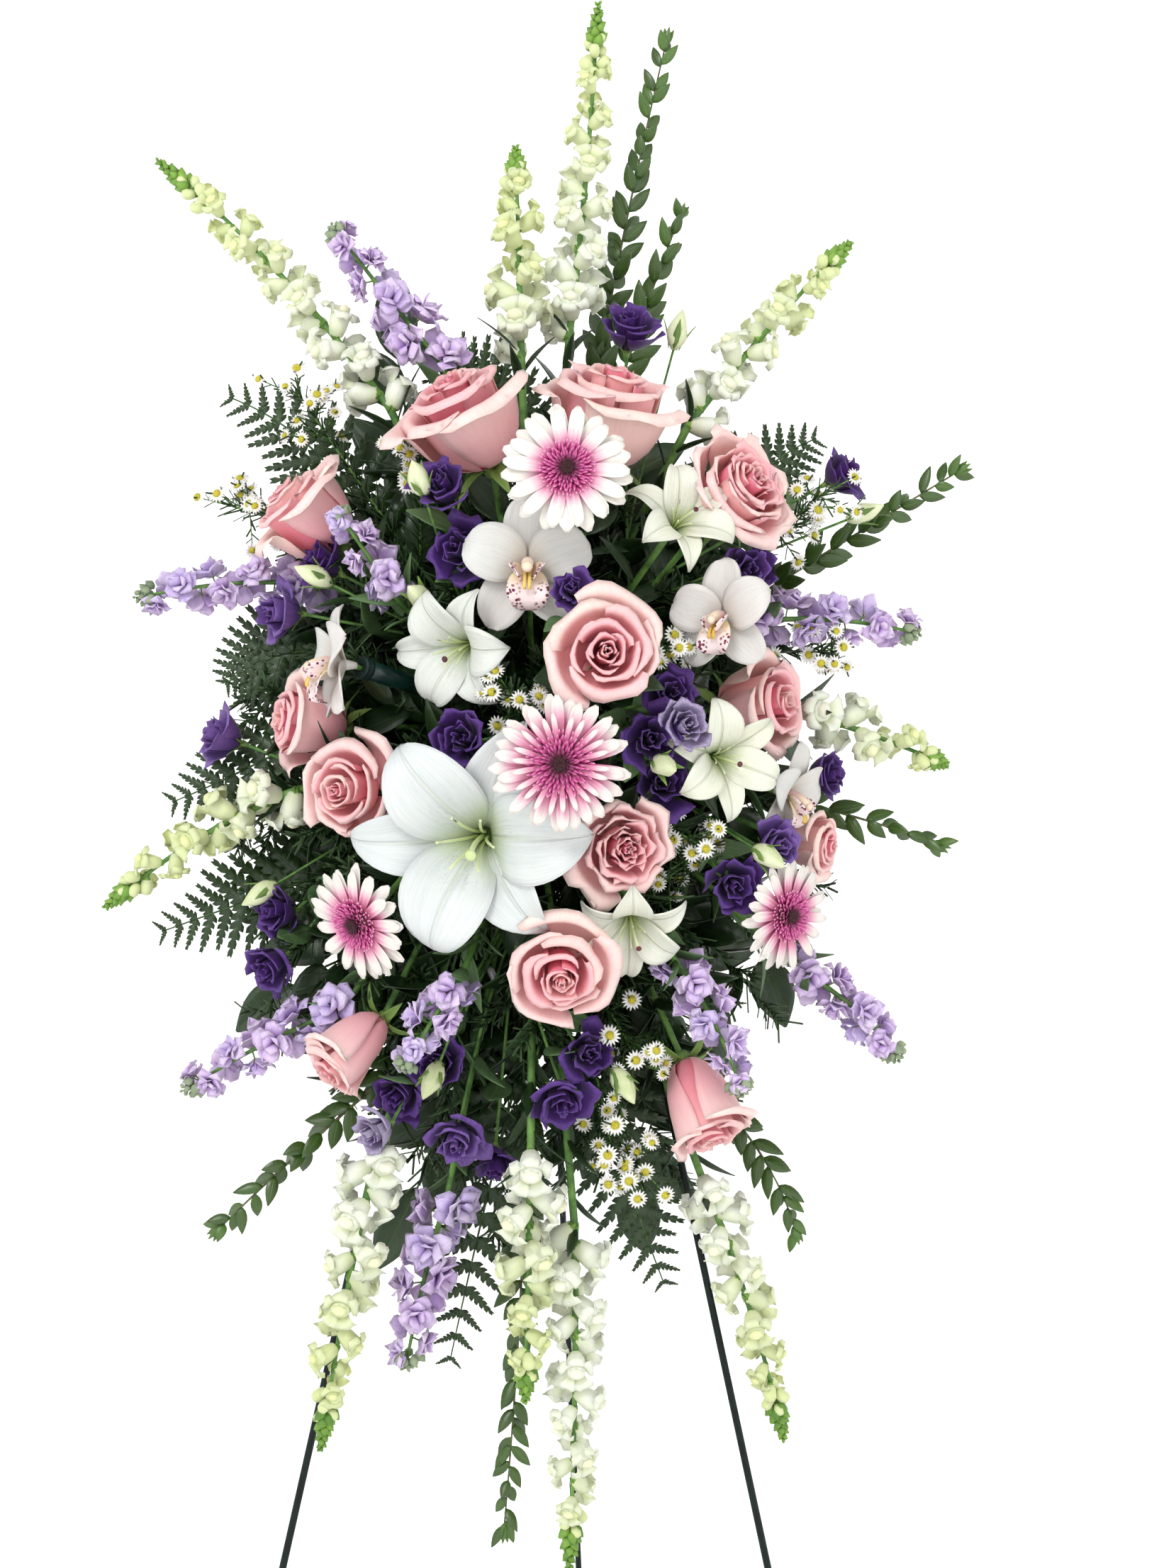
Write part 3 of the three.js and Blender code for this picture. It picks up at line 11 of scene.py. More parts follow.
import bpy
import numpy as np
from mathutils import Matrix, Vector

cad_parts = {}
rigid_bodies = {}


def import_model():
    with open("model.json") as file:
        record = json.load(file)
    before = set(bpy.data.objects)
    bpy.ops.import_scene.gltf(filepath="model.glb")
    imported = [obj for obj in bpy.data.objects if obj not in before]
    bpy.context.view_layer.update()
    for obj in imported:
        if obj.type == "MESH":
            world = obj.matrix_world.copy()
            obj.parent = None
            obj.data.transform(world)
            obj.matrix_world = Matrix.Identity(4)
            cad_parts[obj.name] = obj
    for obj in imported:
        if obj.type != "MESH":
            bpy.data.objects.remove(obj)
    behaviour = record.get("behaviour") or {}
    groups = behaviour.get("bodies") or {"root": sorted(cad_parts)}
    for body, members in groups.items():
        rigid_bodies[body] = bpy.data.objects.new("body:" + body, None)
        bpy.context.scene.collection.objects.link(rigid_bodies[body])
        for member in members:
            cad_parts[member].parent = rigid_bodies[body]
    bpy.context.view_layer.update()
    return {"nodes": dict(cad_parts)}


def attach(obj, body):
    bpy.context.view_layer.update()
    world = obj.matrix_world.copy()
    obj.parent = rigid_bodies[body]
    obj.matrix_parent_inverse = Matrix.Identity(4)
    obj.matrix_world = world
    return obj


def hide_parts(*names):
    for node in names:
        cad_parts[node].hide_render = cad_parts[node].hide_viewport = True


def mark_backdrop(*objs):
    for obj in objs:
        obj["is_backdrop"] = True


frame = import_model()

# %% [markdown]
# The photographer stood in front of the spray, a little to the right of its middle and level with the
# flowers. A camera is set with a lens length for the long side of the picture, so the portrait frame needs
# no crop. Soft light comes from a large lamp high on the left, a weaker one on the right, one behind the
# spray for its back, and the pale room. The plain view of colours keeps white paper white, as it is in the
# photograph.

# %% Camera, lamps and room
PHOTO_FOCUS = 3167
PHOTO_HEIGHT = 2212
camera = bpy.data.objects.new("camera", bpy.data.cameras.new("camera"))
camera.data.lens = PHOTO_FOCUS / PHOTO_HEIGHT * camera.data.sensor_width
camera.location = (0.051, -2.014, 1.177)
camera.rotation_euler = (math.pi / 2, 0, 0)
bpy.context.scene.collection.objects.link(camera)
bpy.context.scene.camera = camera
bpy.context.scene.view_settings.view_transform = "Standard"


def lamp(name, place, size, power, aim=(0, -0.15, 1.15)):
    """A square lamp whose beam points from its place at the flowers."""
    data = bpy.data.lights.new(name, "AREA")
    data.size = size
    data.energy = power
    lamp_object = bpy.data.objects.new(name, data)
    lamp_object.location = place
    way = Vector(aim) - lamp_object.location
    lamp_object.rotation_euler = way.to_track_quat("-Z", "Y").to_euler()
    bpy.context.scene.collection.objects.link(lamp_object)
    return lamp_object


lamp("key_lamp", (-1.2, -2.8, 3.4), 1.3, 56)
lamp("fill_lamp", (2.6, -2.2, 1.6), 2.2, 10)
lamp("rear_lamp", (0.6, 2.4, 2.8), 1.6, 20)

room = bpy.data.worlds.new("room")
bpy.context.scene.world = room
room.use_nodes = True
room.node_tree.nodes["Background"].inputs["Color"].default_value = (1, 1, 1, 1)
room.node_tree.nodes["Background"].inputs["Strength"].default_value = 0.5
print("lens:", round(camera.data.lens, 2), "mm")

# %% [markdown]
# Almost everything on the spray is one of two things: a thin sheet with a rim, or a round stalk. Both can be
# one closed skin: rings of points, an even number to a ring, laid one after another and shut at both ends.
# A petal's ring runs over its upper face and back under its lower face. With that one rule, whole bunches of
# petals are made as arrays, and no piece has a hole or a loose edge.

# %% Closed skins from rings of points
MM = 0.001
RNG = np.random.default_rng(7)


def skin_faces(count, rings, around):
    """Quads of `count` closed skins: neighbours in and between rings, and flat strips that shut the ends."""
    row, col = np.meshgrid(np.arange(rings - 1), np.arange(around), indexing="ij")
    a = row * around + col
    b = row * around + (col + 1) % around
    walls = np.stack([a, b, b + around, a + around], -1).reshape(-1, 4)
    j = np.arange(around // 2 - 1)
    first = np.stack([j, around - 1 - j, around - 2 - j, j + 1], -1)
    last = first[:, ::-1] + (rings - 1) * around
    one = np.concatenate([walls, first, last])
    return (one[None] + (np.arange(count) * rings * around)[:, None, None]).reshape(-1, 4)


def unit(v):
    """Vectors scaled to length one."""
    return v / np.maximum(np.linalg.norm(v, axis=-1, keepdims=True), 1e-12)


def sheet_rings(middle, thick):
    """Rings of thin sheets: the middle surface moved half the thickness along its normal and against it."""
    across = np.gradient(middle, axis=-2)
    along = np.gradient(middle, axis=-3)
    normal = unit(np.cross(across, along))
    half = np.asarray(thick)[..., None] * 0.5
    return np.concatenate([middle + normal * half, (middle - normal * half)[..., ::-1, :]], axis=-2)


def tube_rings(path, radius, around=8, flat=1.0):
    """Rings round a path: p + r (cos a u + sin a w), with u and w square to the path's direction."""
    path = np.asarray(path, float)
    way = unit(np.gradient(path, axis=-2))
    guide = np.where(np.abs(way[..., 2:]) < 0.9, np.array([0, 0, 1.0]), np.array([0, 1.0, 0]))
    u = unit(np.cross(guide, way))
    w = np.cross(way, u)
    angle = (np.arange(around) + 0.5) / around * 2 * np.pi
    r = np.broadcast_to(np.asarray(radius, float), path.shape[:-1])[..., None, None]
    turn = np.cos(angle)[:, None] * u[..., None, :] + flat * np.sin(angle)[:, None] * w[..., None, :]
    return path[..., None, :] + r * turn


def turned_rings(profile, around=12):
    """Rings of a profile of (radius, height) turned round the upright axis."""
    profile = np.asarray(profile, float)
    angle = (np.arange(around) + 0.5) / around * 2 * np.pi
    r, z = profile[..., 0, None], profile[..., 1, None]
    return np.stack([r * np.cos(angle), r * np.sin(angle), z + 0 * angle], -1)


def bezier(controls, share):
    """Points of a curve by repeated blends of neighbouring control points, for an array of shares."""
    rows = [np.asarray(c, float) for c in controls]
    share = np.asarray(share, float)[..., None]
    while len(rows) > 1:
        rows = [a + (b - a) * share for a, b in zip(rows, rows[1:])]
    return rows[0]


class Bunch:
    """Skins that become one mesh, each point with its share along, across and through the petal's layers."""

    def __init__(self):
        self.points, self.faces, self.finishes, self.petal, self.draw = [], [], [], [], []
        self.count = 0

    def add(self, rings, finish, layer=0.0, tone=None, mark=0.0):
        rings = np.asarray(rings, float)
        rings = rings.reshape((-1,) + rings.shape[-3:])
        k, m, r, _ = rings.shape
        self.points.append(rings.reshape(-1, 3))
        faces = skin_faces(k, m, r)
        self.faces.append(faces + self.count)
        self.finishes += [(finish, len(faces))]
        self.count += k * m * r
        shape = (k, m, r)
        tone = RNG.random(k) if tone is None else tone
        layer, tone, mark = (np.broadcast_to(np.asarray(v, float), (k,))[:, None, None]
                             for v in (layer, tone, mark))
        s, t = np.linspace(0, 1, m)[:, None], np.linspace(0, 1, r // 2)
        under = np.concatenate([np.zeros(r // 2), np.ones(r // 2)])
        for rows, values in ((self.petal, (s, np.concatenate([t, t[::-1]]), layer)),
                             (self.draw, (under, tone, mark))):
            rows.append(np.stack([np.broadcast_to(v, shape) for v in values], -1).reshape(-1, 3))
        return self


def make_piece(name, bunch, body, replaced):
    """Writes a bunch into one mesh, with its finishes by face, and hands it to the frame."""
    points = np.concatenate(bunch.points).astype(np.float32)
    faces = np.concatenate(bunch.faces).astype(np.int32)
    mesh = bpy.data.meshes.new(name)
    mesh.vertices.add(len(points))
    mesh.vertices.foreach_set("co", points.ravel())
    mesh.loops.add(faces.size)
    mesh.loops.foreach_set("vertex_index", faces.ravel())
    mesh.polygons.add(len(faces))
    mesh.polygons.foreach_set("loop_start", np.arange(len(faces), dtype=np.int32) * 4)
    names = list(dict.fromkeys(finish for finish, _ in bunch.finishes))
    for finish in names:
        mesh.materials.append(bpy.data.materials[finish])
    index = np.concatenate([np.full(n, names.index(finish), np.int32) for finish, n in bunch.finishes])
    mesh.polygons.foreach_set("material_index", index)
    mesh.polygons.foreach_set("use_smooth", np.ones(len(faces), bool))
    for attribute, rows in (("petal", bunch.petal), ("draw", bunch.draw)):
        data = mesh.attributes.new(attribute, "FLOAT_VECTOR", "POINT").data
        data.foreach_set("vector", np.concatenate(rows).astype(np.float32).ravel())
    mesh.update(calc_edges=True)
    piece = bpy.data.objects.new(name, mesh)
    bpy.context.scene.collection.objects.link(piece)
    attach(piece, body)
    if replaced:
        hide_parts(*replaced)
    return piece


print("a petal of 9 by 7 points has", len(skin_faces(1, 9, 14)), "faces")

# %% [markdown]
# Petals share a few effects: fine streaks that run from base to tip, soft clouds of lighter and darker
# colour, and small pores. Each effect is a node group that puts out plain numbers, so one group serves every
# flower with its own values. The streaks read the share along and across the petal that each mesh carries,
# which keeps them on the petal however it is turned.

# %% Node groups for streaks and clouds


def colour(text):
    """A colour written as six hexadecimal digits, turned into the linear values that a shader mixes."""
    part = np.array([int(text[i : i + 2], 16) for i in (0, 2, 4)]) / 255
    return (*np.where(part <= 0.04045, part / 12.92, ((part + 0.055) / 1.055) ** 2.4), 1.0)


def node(tree, kind, **values):
    """Adds a node and sets its own properties, or its inputs where the name is an input's."""
    made = tree.nodes.new(kind)
    for key, value in values.items():
        if hasattr(made, key):
            setattr(made, key, value)
        else:
            put(tree, value, made.inputs[key.replace("_", " ").strip()])
    return made


def put(tree, value, socket):
    """Links a socket, or sets a plain value."""
    if isinstance(value, bpy.types.NodeSocket):
        tree.links.new(value, socket)
    else:
        socket.default_value = value


def sums(tree, operation, *values):
    """One step of arithmetic on sockets or numbers."""
    step = tree.nodes.new("ShaderNodeMath")
    step.operation = operation
    for value, socket in zip(values, step.inputs):
        put(tree, value, socket)
    return step.outputs[0]


def blend(tree, share, first, second, mode="MIX"):
    """A mix of two colours by a share."""
    mix = tree.nodes.new("ShaderNodeMix")
    mix.data_type = "RGBA"
    mix.blend_type = mode
    put(tree, share, mix.inputs[0])
    put(tree, first, mix.inputs[6])
    put(tree, second, mix.inputs[7])
    return mix.outputs[2]


def grade(tree, value, low, high, to_low=0.0, to_high=1.0):
    """A value stretched smoothly from one range to another, and kept inside it."""
    made = tree.nodes.new("ShaderNodeMapRange")
    made.interpolation_type = "SMOOTHSTEP"
    for number, socket in zip((value, low, high, to_low, to_high), made.inputs):
        put(tree, number, socket)
    return made.outputs[0]


def new_group(name, inputs, outputs):
    """An empty node group with named number sockets."""
    group = bpy.data.node_groups.new(name, "ShaderNodeTree")
    for label, kind in inputs:
        group.interface.new_socket(label, in_out="INPUT", socket_type=kind)
    for label, kind in outputs:
        group.interface.new_socket(label, in_out="OUTPUT", socket_type=kind)
    return group, group.nodes.new("NodeGroupInput"), group.nodes.new("NodeGroupOutput")


NUMBER, VECTOR = "NodeSocketFloat", "NodeSocketVector"

streaks, taken, given = new_group(
    "streaks",
    [("Petal", VECTOR), ("Tone", NUMBER), ("Across", NUMBER), ("Along", NUMBER)],
    [("Streak", NUMBER), ("Vein", NUMBER)],
)
parts = node(streaks, "ShaderNodeSeparateXYZ", Vector=taken.outputs["Petal"])
wide = sums(streaks, "MULTIPLY", parts.outputs[1], taken.outputs["Across"])
long = sums(streaks, "MULTIPLY", parts.outputs[0], taken.outputs["Along"])
deep = sums(streaks, "MULTIPLY", sums(streaks, "ADD", taken.outputs["Tone"], parts.outputs[2]), 40.0)
spread = node(streaks, "ShaderNodeCombineXYZ", X=long, Y=wide, Z=deep)
fine = node(streaks, "ShaderNodeTexNoise", Vector=spread.outputs[0], Scale=1.0, Detail=3.0, Roughness=0.6)
streaks.links.new(fine.outputs[0], given.inputs["Streak"])
sharp = sums(streaks, "ABSOLUTE", sums(streaks, "SUBTRACT", fine.outputs[0], 0.5))
streaks.links.new(grade(streaks, sharp, 0.0, 0.06, 1.0, 0.0), given.inputs["Vein"])

clouds, taken, given = new_group("clouds", [("Place", VECTOR), ("Scale", NUMBER)], [("Cloud", NUMBER)])
soft = node(clouds, "ShaderNodeTexNoise", Vector=taken.outputs["Place"],
            Scale=taken.outputs["Scale"], Detail=4.0)
clouds.links.new(grade(clouds, soft.outputs[0], 0.3, 0.7), given.inputs["Cloud"])

pores, taken, given = new_group("pores", [("Place", VECTOR), ("Scale", NUMBER)], [("Height", NUMBER)])
cells = node(pores, "ShaderNodeTexVoronoi", Vector=taken.outputs["Place"], Scale=taken.outputs["Scale"])
pores.links.new(cells.outputs["Distance"], given.inputs["Height"])
print("groups:", [group.name for group in bpy.data.node_groups])

# %% [markdown]
# A petal lets some light through and has a dull satin face. The Principled shader gives that with a little
# subsurface light and a rough surface. Its colour is built in steps from the petal's own shares: a base
# colour, a rim colour, a colour for the heart of the flower, streaks, and a small change from petal to petal.

# %% The start of every finish


class Finish:
    """A material with the petal's shares at hand, and short calls for its colour and bump."""

    def __init__(self, name, roughness=0.5, see_through=0.0, coat=0.0, sheen=0.0, metal=0.0):
        self.material = bpy.data.materials.new(name)
        self.material.use_nodes = True
        self.tree = self.material.node_tree
        self.shader = self.tree.nodes["Principled BSDF"]
        values = {"Roughness": roughness, "Subsurface Weight": see_through, "Subsurface Scale": 0.004}
        values |= {"Coat Weight": coat, "Coat Roughness": 0.25, "Sheen Weight": sheen, "Metallic": metal}
        for key, value in values.items():
            self.shader.inputs[key].default_value = value
        self.shader.inputs["Subsurface Radius"].default_value = (1.0, 0.7, 0.5)
        self.petal = node(self.tree, "ShaderNodeAttribute", attribute_name="petal").outputs["Vector"]
        shares = node(self.tree, "ShaderNodeSeparateXYZ", Vector=self.petal)
        self.along, self.across, self.layer = shares.outputs[:3]
        drawn = node(self.tree, "ShaderNodeAttribute", attribute_name="draw").outputs["Vector"]
        draws = node(self.tree, "ShaderNodeSeparateXYZ", Vector=drawn)
        self.under, self.tone, self.mark = draws.outputs[:3]
        self.place = node(self.tree, "ShaderNodeTexCoord").outputs["Object"]

    def group(self, name, **values):
        """Places one of the shared groups with this finish's own values."""
        made = self.tree.nodes.new("ShaderNodeGroup")
        made.node_tree = bpy.data.node_groups[name]
        for key, value in values.items():
            put(self.tree, value, made.inputs[key])
        return made.outputs

    def streak(self, across, along=2.0):
        return self.group("streaks", Petal=self.petal, Tone=self.tone, Across=across, Along=along)

    def mix(self, share, first, second, mode="MIX"):
        first = colour(first) if isinstance(first, str) else first
        second = colour(second) if isinstance(second, str) else second
        return blend(self.tree, share, first, second, mode)

    def grade(self, value, *limits):
        return grade(self.tree, value, *limits)

    def sums(self, operation, *values):
        return sums(self.tree, operation, *values)

    def middle(self):
        """How near a point is to the petal's midrib: one on it, nothing at the edges."""
        off = self.sums("ABSOLUTE", self.sums("SUBTRACT", self.across, 0.5))
        return self.sums("SUBTRACT", 1.0, self.sums("MULTIPLY", off, 2.0))

    def done(self, shade, height=None, deep=0.0004, strength=0.5):
        """Puts the colour in, and a height for the bump."""
        put(self.tree, shade, self.shader.inputs["Base Color"])
        if height is not None:
            bump = node(self.tree, "ShaderNodeBump", Strength=strength, Distance=deep, Height=height)
            self.tree.links.new(bump.outputs[0], self.shader.inputs["Normal"])
        return self.material

# %% [markdown]
# The roses are blush, warm cream at the rims and coral pink in the heart. The gerberas are white with
# magenta at the foot of each ray. The lilies are cool white with a green throat. The orchids are greyish
# white with a spotted lip. Each finish below follows one of them.

# %% Finishes of the large flowers


def rose_finish():
    f = Finish("rose_petal", roughness=0.55, see_through=0.2, sheen=0.1)
    streak, vein = f.streak(14.0, 2.2)[:2]
    outer = f.mix(f.grade(f.along, 0.15, 0.95), "F2A6AE", "FCDAD4")
    inner = f.mix(f.grade(f.along, 0.3, 1.0), "E95C7C", "F9AEB9")
    heart = f.mix(f.grade(f.along, 0.3, 1.0), "DC3C64", "F08198")
    base = f.mix(f.grade(f.layer, 0.15, 0.5), outer, inner)
    base = f.mix(f.grade(f.layer, 0.5, 1.0), base, heart)
    cream = f.mix(f.grade(f.layer, 0.0, 0.5, 0.55, 0.15), base, "FDEEE4")
    rim = f.mix(f.grade(f.along, 0.7, 1.0), base, cream)
    back = f.mix(f.sums("MULTIPLY", f.under, 0.4), rim, "FACDC8")
    warm = f.mix(f.sums("MULTIPLY", f.grade(f.tone, 0.5, 1.0), 0.4), back, "FCE6D4")
    cloud = f.group("clouds", Place=f.place, Scale=38.0)[0]
    warm = f.mix(f.sums("MULTIPLY", cloud, 0.14), warm, "F6AAB8")
    f.done(f.mix(f.sums("MULTIPLY", vein, 0.12), warm, "E8929E"), streak, 0.0004, 0.3)


def gerbera_finishes():
    f = Finish("gerbera_ray", roughness=0.5, see_through=0.15)
    streak, vein = f.streak(5.0, 1.2)[:2]
    reach = f.sums("ADD", f.along, f.sums("MULTIPLY", f.sums("SUBTRACT", streak, 0.5), 0.3))
    reach = f.sums("SUBTRACT", reach, f.sums("MULTIPLY", f.mark, 0.4))
    pink = f.mix(f.grade(reach, 0.12, 0.46), "BE1E78", "E97DB6")
    shade = f.mix(f.grade(reach, 0.26, 0.64, 1.0, 0.0), "EFECE6", pink)
    shade = f.mix(f.sums("MULTIPLY", f.mark, 0.16), shade, "F0B9D0")
    under = f.mix(f.sums("MULTIPLY", f.under, 0.2), shade, "E8DCC8")
    f.done(f.mix(f.sums("MULTIPLY", vein, 0.12), under, "CFAFBE"), streak, 0.0006, 0.5)
    f = Finish("gerbera_floret", roughness=0.6, see_through=0.05)
    young = f.mix(f.grade(f.along, 0.15, 1.0), "AE1C6C", "DF6FAE")
    pale = f.mix(f.sums("MULTIPLY", f.grade(f.layer, 0.5, 0.0), f.grade(f.along, 0.75, 1.0)), young, "F0BCD6")
    f.done(f.mix(f.grade(f.layer, 0.45, 1.0), pale, "4C0B28"))
    f = Finish("gerbera_eye", roughness=0.8)
    grain = f.group("pores", Place=f.place, Scale=700.0)[0]
    f.done(f.mix(f.grade(grain, 0.1, 0.6), "0C0205", "3A0A18"), grain, 0.001, 0.9)


def lily_finishes():
    f = Finish("lily_tepal", roughness=0.45, see_through=0.15)
    streak, vein = f.streak(26.0, 1.2)[:2]
    rib = f.grade(f.middle(), 0.9, 1.0)
    green = f.sums("MULTIPLY", rib, f.grade(f.along, 0.15, 0.8, 1.0, 0.1))
    shell = f.mix(f.layer, "D3D9DE", "EBEAD6")
    base = f.mix(f.sums("MULTIPLY", green, f.grade(f.layer, 0.0, 1.0, 0.4, 0.9)), shell, "B3C07A")
    throat = f.mix(f.grade(f.along, 0.08, 0.36, 0.9, 0.0), base, "A3B867")
    back = f.mix(f.sums("MULTIPLY", f.under, 0.25), throat, "DADDC8")
    cloud = f.group("clouds", Place=f.place, Scale=26.0)[0]
    soft = f.mix(f.sums("MULTIPLY", cloud, 0.3), back, "E8EAEA")
    dots = f.group("pores", Place=f.place, Scale=420.0)[0]
    near = f.sums("MULTIPLY", f.grade(f.along, 0.25, 0.6, 1.0, 0.0), f.grade(f.middle(), 0.2, 0.8))
    bumps = f.sums("MULTIPLY", f.grade(dots, 0.0, 0.35, 1.0, 0.0), near)
    height = f.sums("ADD", f.sums("ADD", streak, f.sums("MULTIPLY", rib, -1.6)), bumps)
    f.done(f.mix(f.sums("MULTIPLY", vein, 0.24), soft, "AEB8BE"), height, 0.0011, 0.7)
    f = Finish("lily_filament", roughness=0.45, see_through=0.1)
    f.done(f.mix(f.along, "A8BC6A", "D9E2B4"))
    f = Finish("lily_stigma", roughness=0.4, coat=0.3)
    f.done(f.mix(f.tone, "3E0A16", "601420"))
    f = Finish("lily_stigma_pale", roughness=0.4, coat=0.3)
    f.done(f.mix(f.tone, "B9CC88", "D6E0A8"))


def orchid_finishes():
    f = Finish("orchid_tepal", roughness=0.42, see_through=0.2)
    streak, vein = f.streak(18.0, 1.2)[:2]
    base = f.mix(f.grade(f.along, 0.0, 0.5), "C6BEAE", "D3D2CE")
    blush = f.mix(f.sums("MULTIPLY", f.grade(f.tone, 0.3, 1.0), 0.3), base, "E0D2CF")
    cloud = f.group("clouds", Place=f.place, Scale=30.0)[0]
    soft = f.mix(f.sums("MULTIPLY", cloud, 0.3), blush, "CCD1D1")
    f.done(f.mix(f.sums("MULTIPLY", vein, 0.2), soft, "B0A8AE"), streak, 0.0008, 0.5)
    f = Finish("orchid_lip", roughness=0.4, see_through=0.15)
    spots = node(f.tree, "ShaderNodeTexVoronoi", Vector=f.place, Scale=300.0).outputs["Distance"]
    edge = f.sums("MULTIPLY", f.grade(f.along, 0.25, 0.45), f.grade(f.middle(), 0.8, 0.45))
    mask = f.sums("MULTIPLY", f.grade(spots, 0.34, 0.46, 1.0, 0.0), edge)
    base = f.mix(f.grade(f.along, 0.1, 0.5), "EFDDB0", "F3DEDF")
    f.done(f.mix(mask, base, "6E0F38"), spots, 0.0005, 0.3)
    f = Finish("orchid_callus", roughness=0.5)
    f.done(f.mix(f.tone, "D9AE36", "E8CB6A"), f.group("pores", Place=f.place, Scale=900.0)[0], 0.0006, 0.6)
    f = Finish("orchid_column", roughness=0.45, see_through=0.1)
    f.done(f.mix(f.grade(f.along, 0.2, 1.0), "DCB4B4", "F0DFC2"))


for make in (rose_finish, gerbera_finishes, lily_finishes, orchid_finishes):
    make()
print("finishes:", len(bpy.data.materials))

# %% [markdown]
# Lisianthus petals are deep violet with a velvet bloom, some of them faded to lavender. The stock is pale
# lavender and the snapdragon white with green in its throat. The small asters are white round a yellow eye.

# %% Finishes of the small flowers


def lisianthus_finish():
    f = Finish("lisianthus_petal", roughness=0.6, see_through=0.06, sheen=0.08)
    streak, vein = f.streak(18.0, 1.6)[:2]
    deep = f.mix(f.grade(f.along, 0.1, 1.0), "22063F", "451470")
    faded = f.mix(f.grade(f.along, 0.1, 1.0), "4A2876", "7C5AA4")
    pale = f.mix(f.grade(f.along, 0.2, 1.0), "8E82A8", "B9AEC6")
    base = f.mix(f.grade(f.tone, 0.6, 0.85), deep, faded)
    base = f.mix(f.grade(f.tone, 0.9, 0.98), base, pale)
    rim = f.mix(f.sums("MULTIPLY", f.grade(f.along, 0.9, 1.0), 0.35), base, "744AA6")
    back = f.mix(f.sums("MULTIPLY", f.under, 0.25), rim, "5C3A92")
    f.done(f.mix(f.sums("MULTIPLY", vein, 0.3), back, "1C0638"), streak, 0.0006, 0.5)


def stock_finish():
    f = Finish("stock_petal", roughness=0.65, see_through=0.15, sheen=0.15)
    streak, vein = f.streak(8.0, 1.5)[:2]
    base = f.mix(f.grade(f.along, 0.05, 0.9), "AE88CA", "D8C0E8")
    blue = f.mix(f.sums("MULTIPLY", f.grade(f.mark, 0.5, 0.9), 0.4), base, "BDB6E6")
    pale = f.mix(f.sums("MULTIPLY", f.grade(f.tone, 0.4, 1.0), 0.55), blue, "EDDDF4")
    throat = f.mix(f.grade(f.along, 0.0, 0.25, 0.5, 0.0), pale, "CFD2A4")
    f.done(f.mix(f.sums("MULTIPLY", vein, 0.2), throat, "7E5AA8"), streak, 0.0005, 0.4)


def snapdragon_finish():
    f = Finish("snapdragon_petal", roughness=0.6, see_through=0.2, sheen=0.1)
    streak, vein = f.streak(9.0, 1.3)[:2]
    white = f.mix(f.grade(f.along, 0.0, 0.6), "D3DBB0", "F2F4EC")
    young = f.mix(f.grade(f.layer, 0.2, 0.95), white, "D3DC9E")
    cloud = f.group("clouds", Place=f.place, Scale=45.0)[0]
    soft = f.mix(f.sums("MULTIPLY", cloud, 0.22), young, "DCE3C4")
    back = f.mix(f.sums("MULTIPLY", f.under, 0.25), soft, "D3DCAE")
    f.done(f.mix(f.sums("MULTIPLY", vein, 0.12), back, "B4BE8C"), streak, 0.0005, 0.4)
    f = Finish("snapdragon_palate", roughness=0.7, see_through=0.2)
    grain = f.group("pores", Place=f.place, Scale=1200.0)[0]
    f.done(f.mix(f.grade(f.layer, 0.0, 1.0), "F0F0DC", "E0E4A6"), grain, 0.0004, 0.5)


def aster_finishes():
    f = Finish("aster_ray", roughness=0.6, see_through=0.1)
    f.done(f.mix(f.grade(f.along, 0.0, 0.4), "DFE0B8", "F1EFEA"), f.streak(4.0)[0], 0.0003, 0.3)
    f = Finish("aster_eye", roughness=0.8)
    grain = f.group("pores", Place=f.place, Scale=1100.0)[0]
    f.done(f.mix(f.grade(grain, 0.1, 0.6), "8E8A18", "CFC23A"), grain, 0.0006, 0.8)


for make in (lisianthus_finish, stock_finish, snapdragon_finish, aster_finishes):
    make()
print("finishes:", len(bpy.data.materials))

# %% [markdown]
# The greens differ more in gloss than in hue. Myrtle shines, fern is leathery, and the stems and buds are
# light green and matt. A leaf's midrib is paler, side veins branch from it, and clouds of darker green
# break up the rest. One function holds that recipe, and each green gives its own colours.

# %% Finishes of the greens


def leaf_finish(name, dark, light, vein_tint, roughness, coat, veins=9.0, young=None):
    f = Finish(name, roughness=roughness, see_through=0.06, coat=coat)
    cloud = f.group("clouds", Place=f.place, Scale=55.0)[0]
    base = f.mix(f.sums("ADD", f.sums("MULTIPLY", cloud, 0.6), f.sums("MULTIPLY", f.tone, 0.4)), dark, light)
    if young:
        base = f.mix(f.grade(f.layer, 0.55, 1.0), base, young)
    slope = f.sums("ADD", f.sums("MULTIPLY", f.along, veins), f.sums("MULTIPLY", f.middle(), veins * 0.35))
    wave = f.sums("ABSOLUTE", f.sums("SINE", f.sums("MULTIPLY", slope, math.pi)))
    side = f.grade(wave, 0.0, 0.3, 0.5, 0.0)
    rib = f.grade(f.middle(), 0.88, 1.0)
    line = f.sums("MAXIMUM", side, rib)
    under = f.mix(f.sums("MULTIPLY", f.under, 0.5), base, light)
    f.done(f.mix(f.sums("MULTIPLY", line, 0.35), under, vein_tint),
           f.sums("SUBTRACT", 1.0, line), 0.0005, 0.45)


def stalk_finish(name, dark, light, roughness=0.5):
    f = Finish(name, roughness=roughness, see_through=0.05)
    cloud = f.group("clouds", Place=f.place, Scale=90.0)[0]
    ridge = f.streak(14.0, 1.0)[0]
    f.done(f.mix(cloud, dark, light), ridge, 0.0005, 0.4)


